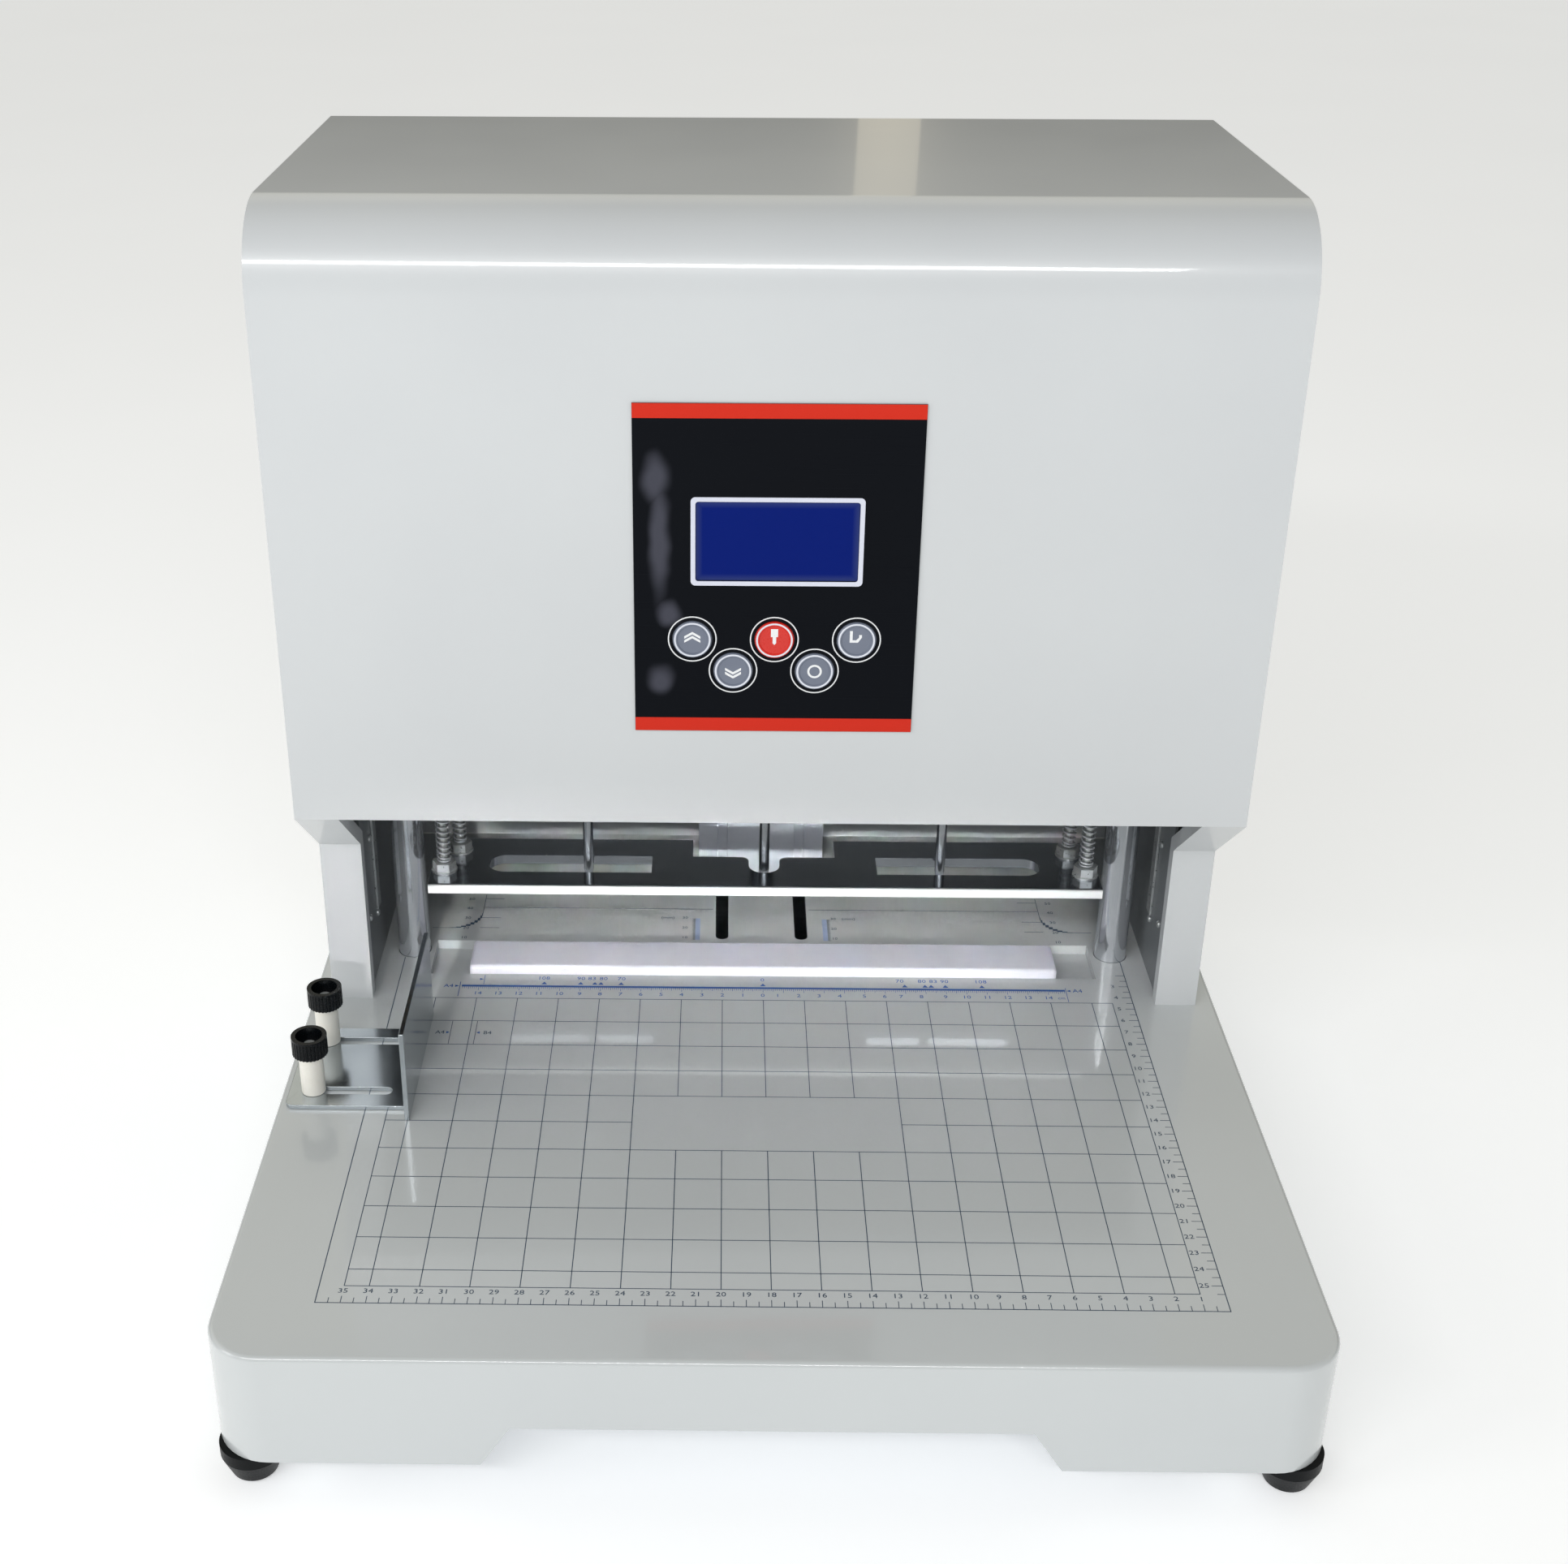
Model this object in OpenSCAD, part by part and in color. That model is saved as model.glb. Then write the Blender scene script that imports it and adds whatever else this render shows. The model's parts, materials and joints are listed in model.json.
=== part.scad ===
// Automatic desk paper drill with three hollow bits, press plate and ruled table.
// X runs to the user's right, Y away from the user and Z up, in millimetres.
// The origin lies on the floor under the middle of the base.

/* [Base] */
// Width of the base
base_w = 440; // [430:1:500]
// Depth of the base
base_d = 430; // [425:1:480]
// Height of the base skirt
skirt_h = 53; // [45:1:75]
// Corner radius of the base seen from above
base_r = 23; // [15:1:30]
// Radius of the rounded edge round the table
base_edge = 2.5; // [2.2:0.1:4]
// Thickness of the base and head sheet
sheet = 2; // [1.5:0.1:2.1]
// Width of the arch in the skirt, at its top
arch_w = 203; // [150:1:240]
// Height of the arch
arch_h = 19; // [12:1:24]
// Sideways lean of each end of the arch
arch_lean = 12; // [4:1:20]
// Height of the feet
foot_h = 16; // [12:1:30]
// Diameter of the feet
foot_d = 26; // [22:1:34]

/* [Head] */
// Width of the head and legs
head_w = 420; // [410:1:426]
// Depth of the head
head_d = 215.5; // [205:0.5:220]
// Height of the head's top above the table
head_h = 388; // [380:1:420]
// Radius of the bend between the front and the top
head_r = 34; // [10:1:50]
// Distance of the legs' front from the base's front
leg_set = 251; // [240:1:255]
// Width of each leg seen from the front
leg_face = 19.5; // [18:0.5:22]
// Height of the legs' upright front
leg_h = 85.6; // [78:0.1:95]
// Rise of the sloping face under the head
slope_rise = 36.9; // [30:0.1:40]
// Overhang of the head in front of the legs
head_over = 45; // [35:1:50]
// Width of the return lip behind each leg's front
lip_w = 7; // [5:0.5:10]

/* [Bed, stick and back stop] */
// Thickness of the steel bed plate under the table
bed_t = 12; // [10:0.5:14]
// Width of the recess for the cutting stick
recess_w = 331; // [320:1:334]
// Depth of that recess from front to back
recess_d = 31.6; // [30:0.1:34]
// How deep the recess lies below the table
recess_deep = 5; // [3:0.5:6]
// Length of the cutting stick
stick_w = 292; // [270:1:300]
// Width of the cutting stick
stick_d = 25; // [22:0.5:28]
// Height of the cutting stick
stick_h = 9.5; // [8:0.5:10]
// Distance of each back stop slot from the middle
stop_slot_x = 20.3; // [15:0.1:25]
// Width of the back stop slots
stop_slot_w = 6.6; // [5:0.1:8]
// Width of the back stop
stop_w = 66; // [60:1:90]
// Thickness of the back stop
stop_t = 14; // [10:1:18]
// Height of the back stop
stop_h = 45; // [30:1:46]

/* [Pillars and carriage] */
// Diameter of the pillars
pillar_d = 16; // [12:1:18]
// Distance of the pillars behind the legs' front
pillar_set = 46; // [44:0.5:50]
// Distance from the inner wall to a pillar's centre
pillar_wall = 16; // [15:0.5:20]
// Thickness of the carriage plate
carriage_t = 10; // [8:0.5:14]
// Way that the carriage goes down
travel = 46.2; // [30:0.1:46.2]
// Diameter of the lead screw
screw_d = 12; // [8:1:14]

/* [Press plate] */
// Height of the press plate's underside above the table
plate_z = 51.2; // [51.2:0.1:60]
// Thickness of the press plate
plate_t = 4.8; // [4:0.1:6]
// Depth of the press plate from front to back
plate_d = 47; // [44:0.5:52]
// Gap between the press plate and each pillar
plate_gap = 5.5; // [3:0.5:8]
// Distance of the front edge from the drilling line
plate_lead = 21.7; // [20:0.1:24]
// Inner end of the long slots, from the middle
slot_in = 55; // [50:0.5:58]
// Outer end of the long slots, from the middle
slot_out = 135; // [122:0.5:136]
// Width of the two long slots
slot_w = 16.4; // [14:0.2:18]
// Width of the step in the rear edge
notch_w = 70; // [60:1:90]
// Depth of the step in the rear edge
notch_d = 17; // [14:0.5:19]
// Width of the middle cut-out
mid_w = 15; // [12:0.5:16]

/* [Springs and plate bolts] */
// Outer diameter of the springs
spring_od = 7; // [6.4:0.1:8]
// Wire of the springs
wire_d = 1; // [0.8:0.05:1.2]
// Curls of each spring
curls = 22; // [16:1:24]
// Length of the springs at rest
spring_len = 62.5; // [58:0.5:70]
// Diameter of the plate bolts
bolt_d = 4; // [3:0.1:4.2]

/* [Drilling] */
// Distance of the drilling line in front of the pillars
drill_ahead = 10.3; // [9:0.1:12]
// Outer diameter of the hollow bits
bit_d = 5; // [3:0.5:6]
// Distance of the outer bits from the middle one
hole_pitch = 86; // [70:1:104]
// Smallest hole pitch
pitch_min = 65; // [62:1:68]
// Largest hole pitch
pitch_max = 108; // [105:1:110]
// Diameter of the drill motors
motor_d = 52; // [42:1:56]
// Height of the drill motors
motor_h = 84; // [70:1:90]

/* [Side guide] */
// Thickness of the side guide's sheet
guide_t = 2.2; // [1.5:0.1:2.5]
// Height of the side guide's fence
guide_h = 46; // [30:1:50]
// Place of the fence's right face, left of the middle
fence_x = 159; // [155:1:162]
// Width of the side guide's foot
guide_foot = 55; // [50:0.5:57]
// Height of the nylon bushes
bush_h = 20.4; // [14:0.1:26]
// Diameter of the nylon bushes
bush_d = 10.8; // [9:0.1:12]
// Diameter of the black caps
cap_d = 16; // [14:0.5:18]
// Height of the black caps
cap_h = 9.2; // [8:0.1:14]

/* [Control panel] */
// Width of the control panel
panel_w = 118.5; // [112:0.5:140]
// Height of the control panel
panel_h = 144.8; // [130:0.2:160]
// Height of the panel's lower edge above the table
panel_z = 168; // [150:1:175]
// Thickness of the panel
panel_t = 0.8; // [0.6:0.1:1.2]
// Width of the display window
lcd_w = 67.5; // [60:0.5:70]
// Height of the display window
lcd_h = 34.6; // [30:0.2:36]
// Diameter of the buttons
button_d = 16.4; // [15:0.1:16.8]
// Sideways pitch of the buttons
button_step = 17.3; // [17:0.1:18]
// Travel of the buttons
button_travel = 0.8; // [0.4:0.1:0.9]

/* [Hidden] */
$fn = 48;

// Clearances
fit = 0.05;         // between a shaft and its bore, on the radius
seat = 0.3;         // between pieces that only rest near each other
slide = 0.1;        // between sliding faces

// Levels of the table and places of the main lines
table_z = foot_h + skirt_h;
front_y = -base_d/2;
leg_y = front_y + leg_set;
head_y = leg_y - head_over;
back_y = head_y + head_d;
pillar_y = leg_y + pillar_set;
drill_y = pillar_y - drill_ahead;
wall_t = 1.5;
wall_x = head_w/2 - leg_face + wall_t;
pillar_x = wall_x - pillar_wall;
low_z = table_z + leg_h + slope_rise;
roof_z = table_z + head_h;
slope = atan2(slope_rise, head_over);

// Press plate and its bolts
plate_x = pillar_x - pillar_d/2 - plate_gap;
plate_low = table_z + plate_z;
plate_top = plate_low + plate_t;
washer_d = 12.4;
washer_t = 1;
nut_flats = 10;
nut_h = 4.2;
bolt_spots = [[plate_x - 6.5, drill_y - 6.7], [plate_x - 12, drill_y + 13.3]];
spring_z = plate_top + washer_t + nut_h;
spring_top = spring_z + spring_len;
guide_drop = 8;

// Carriage, drills and lift
car_z = spring_top + guide_drop;
car_top = car_z + carriage_t;
car_x = wall_x - 3;
screw_y = drill_y + 44.3;
bush_r = pillar_d/2 + 2.5;
block_w = 46;
block_d = 42;
block_foot = 8;
block_h = 18;
shaft_r = 4;
chuck_r = 9;
chuck_h = 26;
chuck_z = car_z - 0.5 - chuck_h;
tip_z = plate_low - 0.2;
motor_z = car_top + slide + block_h;
top_z = motor_z + motor_h + 20;
top_t = 8;
coupling_r = 9.5;
coupling_h = 20;
standoff_h = 26;
lift_w = 56;
lift_h = 40;
plate_front = 28;
plate_deep = 103;
supply_w = 112;
supply_d = 92;
supply_h = 38;
card_w = 108;
card_d = 82;
card_t = 1.6;
card_lift = 8;
keys_w = 96;
keys_h = 102;
car_front = 30;
car_deep = 48;
lift_z = top_z + top_t + standoff_h;

// Recess, slots and guide
recess_y = drill_y - stick_d/2 - seat;
stop_slot_y = recess_y + recess_d + 3.4;
stop_slot_end = stop_slot_y + 94;
stop_y = stop_slot_y + 60.1;
stop_stud_r = 3;
bed_back = stop_slot_y + 10;
guide_x = fence_x + guide_t;
guide_y = leg_y - 91.8;
guide_d = 62;
stud_x = guide_x + guide_foot - 11.3;
stud_ys = [guide_y + 11.8, guide_y + 51.5];
stud_r = 2.5;
cap_z = table_z + slide + guide_t + 0.2 + bush_h;

// Panel
panel_x = 0.7;
panel_top = panel_z + panel_h;
lcd_x = 0.9;
lcd_z = panel_z + 69;
button_x = 0.5;
button_z = panel_z + 42.7;
button_drop = 14.3;
stem_deep = 4;

// ---- helpers ----

// A block with four rounded upright edges, centred on the origin in X and Y
module rounded_block(w, d, h, r) {
  translate([-w/2 + r, -d/2, 0]) cube([w - 2*r, d, h]);
  translate([-w/2, -d/2 + r, 0]) cube([w, d - 2*r, h]);
  for (x = [-1, 1], y = [-1, 1])
    translate([x*(w/2 - r), y*(d/2 - r), 0]) cylinder(r = r, h = h);
}

// Half of a wall section: a strip from the axis out to x, its top outer corner rounded
module edge_section(x, h, edge) {
  square([x, h - edge]);
  square([x - edge, h]);
  translate([x - edge, h - edge]) circle(edge);
}

// A rounded block whose top edge is rounded too
module soft_block(w, d, h, r, edge) {
  for (x = [-1, 1], y = [-1, 1])
    translate([x*(w/2 - r), y*(d/2 - r), 0]) rotate_extrude() edge_section(r, h, edge);
  for (s = [0, 180]) rotate([0, 0, s]) {
    translate([-w/2 + r, 0, 0]) rotate([90, 0, 90]) linear_extrude(w - 2*r)
      edge_section(d/2, h, edge);
    translate([0, d/2 - r, 0]) rotate([90, 0, 0]) linear_extrude(d - 2*r)
      edge_section(w/2, h, edge);
  }
}

// A flat slot along X between two hole centres
module slot_x(x0, x1, r, h) {
  translate([x0, -r, 0]) cube([x1 - x0, 2*r, h]);
  for (x = [x0, x1]) translate([x, 0, 0]) cylinder(r = r, h = h);
}

// A flat slot along Y between two hole centres
module slot_y(y0, y1, r, h) {
  translate([-r, y0, 0]) cube([2*r, y1 - y0, h]);
  for (y = [y0, y1]) translate([0, y, 0]) cylinder(r = r, h = h);
}

module tube(r, bore, h) {
  difference() {
    cylinder(r = r, h = h);
    translate([0, 0, -1]) cylinder(r = bore, h = h + 2);
  }
}

// A hexagon nut by its width across flats
module hex_nut(flats, bore, h) {
  difference() {
    cylinder(d = flats/cos(30), h = h, $fn = 6);
    translate([0, 0, -1]) cylinder(r = bore, h = h + 2);
  }
}

// A pan head screw standing on z = 0 with its shank below
module pan_screw(head_d, head_t, shank_r, shank) {
  cylinder(d = head_d, h = head_t*0.6);
  translate([0, 0, head_t*0.6]) cylinder(d1 = head_d, d2 = head_d*0.6, h = head_t*0.4);
  translate([0, 0, -shank]) cylinder(r = shank_r, h = shank + 0.1);
}

// Puts a shape drawn in (y, z) across the width from x0 to x1
module across(x0, x1) {
  translate([x0, 0, 0]) rotate([90, 0, 90]) linear_extrude(x1 - x0) children();
}

// Puts children on the head's front: local X right, local Y up, local Z towards the user
module on_front(x, z) {
  translate([x, head_y, table_z + z]) rotate([90, 0, 0]) children();
}

// ---- base ----

arch_x = arch_w/2;
cover_z = foot_h + arch_h + 1;

module arch_cut() {
  rotate([90, 0, 0]) translate([0, 0, -base_d]) linear_extrude(2*base_d)
    polygon([[-arch_x - arch_lean, foot_h - 1], [-arch_x - arch_lean, foot_h],
      [-arch_x, foot_h + arch_h], [arch_x, foot_h + arch_h],
      [arch_x + arch_lean, foot_h], [arch_x + arch_lean, foot_h - 1]]);
}

foot_inset = 1;

module foot_spots() {
  for (x = [-1, 1], y = [-1, 1])
    translate([x*(base_w/2 - foot_d/2 - foot_inset), y*(base_d/2 - foot_d/2 - foot_inset), 0])
      children();
}

module base_housing() {
  color("#d6d8d8") difference() {
    union() {
      difference() {
        translate([0, 0, foot_h]) soft_block(base_w, base_d, skirt_h, base_r, base_edge);
        translate([0, 0, foot_h - 1])
          rounded_block(base_w - 2*sheet, base_d - 2*sheet, skirt_h + 1 - sheet, base_r - sheet);
      }
      // corner gussets over the feet
      intersection() {
        translate([0, 0, foot_h]) rounded_block(base_w, base_d, sheet, base_r);
        foot_spots() translate([-30, -30, foot_h - 1]) cube([60, 60, 10]);
      }
      // ledges for the bottom cover
      for (s = [-1, 1]) translate([s*(base_w/2 - 8) - 8, -base_d/2 + 40, cover_z + wall_t])
        cube([16, base_d - 80, sheet]);
    }
    arch_cut();
    // recess of the cutting stick
    translate([-recess_w/2, recess_y, table_z - sheet - 1]) cube([recess_w, recess_d, sheet + 2]);
    // pillars
    for (s = [-1, 1]) translate([s*pillar_x, pillar_y, table_z - sheet - 1])
      cylinder(r = pillar_d/2 + seat, h = sheet + 2);
    // back stop slots
    for (s = [-1, 1]) translate([s*stop_slot_x, 0, table_z - sheet - 1])
      slot_y(stop_slot_y + stop_slot_w/2, stop_slot_end, stop_slot_w/2, sheet + 2);
    // studs of the side guide
    for (y = stud_ys) translate([-stud_x, y, table_z - sheet - 1])
      cylinder(r = stud_r + fit, h = sheet + 2);
    // screws of the feet
    foot_spots() translate([0, 0, foot_h - 1]) cylinder(r = 2.6 + fit, h = 10);
    cover_spots() cylinder(r = 1.5 + fit, h = 10);
  }
}

module bottom_cover() {
  color("#9a9d9f") difference() {
    translate([0, 0, cover_z])
      rounded_block(base_w - 2*sheet - 1, base_d - 2*sheet - 1, wall_t, base_r - sheet);
    for (x = [-1:1], k = [-3:3]) translate([x*90, k*14, cover_z - 1])
      slot_x(-20, 20, 2.5, 4);
    cover_spots() cylinder(r = 1.6, h = 30, center = true);
  }
}

module cover_spots() {
  for (x = [-1, 1], y = [-1, 0, 1])
    translate([x*(base_w/2 - 9), y*(base_d/2 - 55), cover_z]) children();
}

module feet() {
  color("#17181a") foot_spots() rotate_extrude() difference() {
    // a cone that stands on its narrow end, under a short straight collar
    polygon([[0, 0], [foot_d*0.31, 0], [foot_d*0.36, foot_h*0.08], [foot_d/2, foot_h*0.66],
      [foot_d/2, foot_h - 0.05], [0, foot_h - 0.05]]);
    translate([0, -1]) square([5.6, 7]);
    square([2.6 + fit, foot_h + 1]);
  }
}

module case_screws() {
  color("#b9bcc0") {
    // one M5 screw up through each foot
    foot_spots() {
      translate([0, 0, 2]) cylinder(r = 4.5, h = 4);
      translate([0, 0, 5]) cylinder(r = 2.6, h = foot_h + sheet - 1);
      translate([0, 0, foot_h + sheet]) cylinder(d = 9.2, h = 3, $fn = 6);
    }
    cover_spots() rotate([180, 0, 0]) pan_screw(6, 2, 1.5, 3.4);
    rear_spots() rotate([-90, 0, 0]) pan_screw(6, 2, 1.5, 3);
  }
}

module rear_spots() {
  for (x = [-1, 1], z = [24, head_h*0.35, head_h*0.66, head_h - 22])
    translate([x*(head_w/2 - 9), back_y, table_z + z]) children();
}

bed_z = table_z - sheet - bed_t;

module bed_plate() {
  color("#c4c7c7") difference() {
    translate([-pillar_x - 20, recess_y - 22, bed_z]) cube([2*pillar_x + 40, bed_back - recess_y + 22,
      bed_t]);
    translate([-recess_w/2, recess_y, table_z - recess_deep]) cube([recess_w, recess_d, 20]);
    for (s = [-1, 1]) translate([s*pillar_x, pillar_y, bed_z + 2])
      cylinder(r = pillar_d/2 + fit, h = bed_t);
    for (s = [-1, 1]) translate([s*stop_slot_x, 0, bed_z - 1])
      slot_y(stop_slot_y + stop_slot_w/2, bed_back + 20, stop_slot_w/2 + 0.4, bed_t + 2);
  }
}

module cutting_stick() {
  r = 2;
  color("#f2f2f4") translate([-stick_w/2, drill_y - stick_d/2, table_z - recess_deep + 0.05])
    rotate([90, 0, 90]) linear_extrude(stick_w) {
      square([stick_d, stick_h - r]);
      translate([r, 0]) square([stick_d - 2*r, stick_h]);
      for (y = [r, stick_d - r]) translate([y, stick_h - r]) circle(r);
    }
}

module back_stop() {
  // grooved block on two studs, each clamped by a nut under the table
  color("#c9ccd2") {
    difference() {
      translate([-stop_w/2, stop_y, table_z + seat]) cube([stop_w, stop_t, stop_h - seat]);
      for (s = [-1, 1]) translate([s*stop_slot_x - 2.5, stop_y - 1, table_z - 1])
        cube([5, 2.5, stop_h + 2]);
      for (s = [-1, 1]) translate([s*stop_slot_x, stop_y + stop_t/2, table_z - 1])
        cylinder(r = stop_stud_r + fit, h = 13);
    }
    for (s = [-1, 1]) translate([s*stop_slot_x, stop_y + stop_t/2, table_z - sheet]) {
      translate([0, 0, -9]) cylinder(r = stop_stud_r, h = sheet + 20);
      translate([0, 0, -6 - slide]) hex_nut(10, stop_stud_r + fit, 6);
    }
  }
}

// ---- side guide ----

module side_guide() {
  color("#b7bdc3") difference() {
    union() {
      translate([-guide_x, guide_y - 8, table_z + slide])
        cube([guide_t, guide_d + 24, guide_h - slide]);
      translate([-guide_x - guide_foot, guide_y, table_z + slide]) {
        translate([0, 4, 0]) cube([guide_foot + 1, guide_d - 4, guide_t]);
        translate([4, 0, 0]) cube([guide_foot - 3, guide_d, guide_t]);
        translate([4, 4, 0]) cylinder(r = 4, h = guide_t);
      }
    }
    for (y = stud_ys) translate([-stud_x, y, table_z - 1])
      slot_x(-2.6, 32.7, stud_r + 0.15, guide_t + 2);
  }
}

module guide_studs() {
  color("#8d9094") for (y = stud_ys) translate([-stud_x, y, 0]) {
    translate([0, 0, table_z - sheet - 4]) cylinder(d = 9.2, h = 4, $fn = 6);
    translate([0, 0, table_z - sheet - 0.1]) cylinder(r = stud_r, h = cap_z + 5.1 - table_z + sheet);
  }
}

module guide_bushes() {
  color("#f1efe6") for (y = stud_ys) translate([-stud_x, y, cap_z - bush_h])
    tube(bush_d/2, stud_r + fit, bush_h - 0.1);
}

module knurled_cap() {
  color("#1a1c1e") difference() {
    cylinder(d = cap_d, h = cap_h);
    translate([0, 0, cap_h*0.45]) cylinder(d = cap_d - 4, h = cap_h);
    translate([0, 0, -1]) cylinder(r = stud_r + fit, h = cap_h);
    for (a = [0:12:348]) rotate([0, 0, a]) translate([cap_d/2 + 0.25, 0, -1])
      cylinder(r = 0.6, h = cap_h, $fn = 16);
  }
}

module front_cap() {
  translate([-stud_x, stud_ys[0], cap_z]) knurled_cap();
}

module rear_cap() {
  translate([-stud_x, stud_ys[1], cap_z]) knurled_cap();
}

// ---- head ----

// Side outline of head and leg, drawn in (y, z)
module side_outline() {
  polygon([[leg_y, table_z], [leg_y, table_z + leg_h], [head_y, low_z],
    [head_y, roof_z - head_r], [head_y + head_r, roof_z - head_r], [head_y + head_r, roof_z],
    [back_y, roof_z], [back_y, table_z]]);
  bend(0);
}

// The bend between front and top, set in by i
module bend(i) {
  intersection() {
    translate([head_y + head_r, roof_z - head_r]) circle(head_r - i, $fn = 96);
    translate([head_y, roof_z - head_r]) square(head_r);
  }
}

// Front and top of the head, set in by i
module front_outline(i) {
  polygon([[head_y + i, low_z - i], [head_y + i, roof_z - head_r],
    [head_y + head_r, roof_z - head_r], [head_y + head_r, roof_z - i],
    [back_y + i, roof_z - i], [back_y + i, low_z - i]]);
  bend(i);
}

// Front of a leg and its slope, as a strip of depth d
module leg_strip(d) {
  up = d/cos(slope);
  polygon([[leg_y, table_z], [leg_y, table_z + leg_h], [head_y, low_z], [head_y, low_z + sheet],
    [head_y + d/sin(slope), low_z + sheet], [head_y + d/sin(slope), low_z],
    [leg_y + d, table_z + leg_h + up - d*tan(slope)], [leg_y + d, table_z]]);
}

module head_shell() {
  inner = head_w/2 - sheet;
  color("#d3d5d6") difference() {
    union() {
      for (s = [-1, 1]) across(s*(head_w - sheet)/2 - sheet/2, s*(head_w - sheet)/2 + sheet/2)
        side_outline();
      across(-inner - 1, inner + 1) difference() {
        front_outline(0);
        front_outline(sheet);
      }
      // hem under the front
      across(-inner - 1, inner + 1)
        translate([head_y, low_z]) square([13, sheet]);
      for (s = [-1, 1]) {
        // front face and slope of each leg
        across(s*(head_w - leg_face)/2 - leg_face/2, s*(head_w - leg_face)/2 + leg_face/2)
          leg_strip(sheet);
        // return lip
        across(s*(wall_x - wall_t/2) - wall_t/2, s*(wall_x - wall_t/2) + wall_t/2)
          leg_strip(lip_w);
        // rear flange behind the cover
        translate([s*(head_w/2 - 8) - 8, back_y - wall_t - 0.1 - sheet, table_z])
          cube([16, sheet, head_h - 1]);
      }
      translate([-inner, back_y - wall_t - 0.1 - sheet, roof_z - 14]) cube([2*inner, sheet, 13]);
    }
    // window behind the display and holes behind the buttons
    on_front(lcd_x, lcd_z) translate([-lcd_w/2 - 1, 0, -3*sheet])
      cube([lcd_w + 2, lcd_h, 6*sheet]);
    button_spots() translate([0, 0, -2*sheet]) cylinder(d = button_d + 2.8, h = 3*sheet);
    rear_spots() rotate([90, 0, 0]) translate([0, 0, -1]) cylinder(r = 1.6, h = 10);
  }
}

module rear_cover() {
  w = head_w/2 - sheet - 0.4;
  color("#cdd0d1") difference() {
    translate([-w, back_y - wall_t, table_z + 0.4]) cube([2*w, wall_t, head_h - sheet - 0.8]);
    // two fields of vents
    for (s = [-1, 1], k = [0:6]) translate([s*105, back_y + 1, table_z + 205 + k*12])
      rotate([90, 0, 0]) slot_x(-45, 45, 2.2, 5);
    rear_spots() rotate([90, 0, 0]) translate([0, 0, -1]) cylinder(r = 1.6, h = 10);
    translate([-inlet_x - 27.3, back_y - 5, inlet_z - 12.3]) cube([54.6, 10, 24.6]);
  }
}

strip_t = 1.2;
strip_w = 8;
strip_l = 120;
strip_y = drill_y + 2.3;
strip_z = table_z + 30;
wall_foot = 12;
pan_r = 1;

// Puts children on the pan screws of inner wall s
module wall_spots(s) {
  for (p = [[-1, -3.3], [-9, 43], [-21, 5.5]])
    translate([s*wall_x, strip_y + p[0], strip_z + p[1]]) rotate([0, -s*90, 0]) children();
}

module inner_wall(s) {
  deep = back_y - leg_y - lip_w - 4*sheet;
  color("#7f8385") difference() {
    translate([0, leg_y + lip_w + seat, table_z]) {
      translate([s*(wall_x + wall_t/2) - wall_t/2, 0, 0]) cube([wall_t, deep, top_z - table_z]);
      translate([s*(wall_x + wall_foot/2) - wall_foot/2, 0, 0]) cube([wall_foot, deep, sheet]);
    }
    wall_spots(s) translate([0, 0, -2*wall_t]) cylinder(r = pan_r + fit, h = 3*wall_t);
  }
}

module left_inner_wall() { inner_wall(-1); }

module right_inner_wall() { inner_wall(1); }

module wall_strips() {
  color("#c2c6c8") for (s = [-1, 1])
    translate([s*(wall_x - strip_t/2) - strip_t/2, strip_y - strip_w/2, strip_z])
      cube([strip_t, strip_w, strip_l]);
}

module wall_screws() {
  color("#dadde0") for (s = [-1, 1]) wall_spots(s) pan_screw(3.6*pan_r, strip_t, pan_r, wall_t);
}

// ---- pillars and top plate ----

module pillar(s) {
  color("#b8bcc2") translate([s*pillar_x, pillar_y, 0]) {
    translate([0, 0, bed_z + 2]) cylinder(d = pillar_d, h = top_z - bed_z - 2);
    translate([0, 0, top_z - 1]) cylinder(d = pillar_d - 4, h = top_t + 10);
  }
}

module left_pillar() { pillar(-1); }

module right_pillar() { pillar(1); }

module pillar_nuts() {
  color("#aeb2b6") for (s = [-1, 1]) translate([s*pillar_x, pillar_y, top_z + top_t])
    hex_nut(pillar_d + 2, pillar_d/2 - 2 + fit, 8);
}

module top_plate() {
  color("#8f9497") difference() {
    translate([-wall_x + seat, pillar_y - plate_front, top_z])
      cube([2*wall_x - 2*seat, plate_deep, top_t]);
    for (s = [-1, 1]) translate([s*pillar_x, pillar_y, top_z - 1])
      cylinder(r = pillar_d/2 - 2 + fit, h = top_t + 2);
    translate([0, screw_y, top_z - 1]) cylinder(r = coupling_r, h = top_t + 2);
  }
}

module screw_bearing() {
  color("#4c5054") translate([0, screw_y, top_z - 10]) difference() {
    union() {
      cylinder(r = 14, h = 10);
      translate([-20, -9, 6]) cube([40, 18, 4]);
    }
    translate([0, 0, -1]) cylinder(r = shaft_r + fit, h = 12);
  }
}

module motor_standoffs() {
  color("#c9a94b") for (x = [-1, 1], y = [-1, 1])
    translate([x*(lift_w/2 - 5), screw_y + y*(lift_w/2 - 5), top_z + top_t])
      cylinder(d = 7, h = standoff_h, $fn = 6);
}

module lift_motor() {
  color("#25272a") difference() {
    union() {
      translate([0, screw_y, lift_z]) rounded_block(lift_w, lift_w, lift_h, 4);
      translate([0, screw_y, lift_z - 1.6]) cylinder(r = 19, h = 2);
    }
    translate([0, screw_y, lift_z - 2]) cylinder(r = 3.5, h = 14);
    // grooves between the end caps and the middle
    for (z = [10, lift_h - 8]) translate([0, screw_y, lift_z + z]) difference() {
      cube([lift_w + 2, lift_w + 2, 1.2], center = true);
      cube([lift_w - 2, lift_w - 2, 2], center = true);
    }
  }
}

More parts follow.
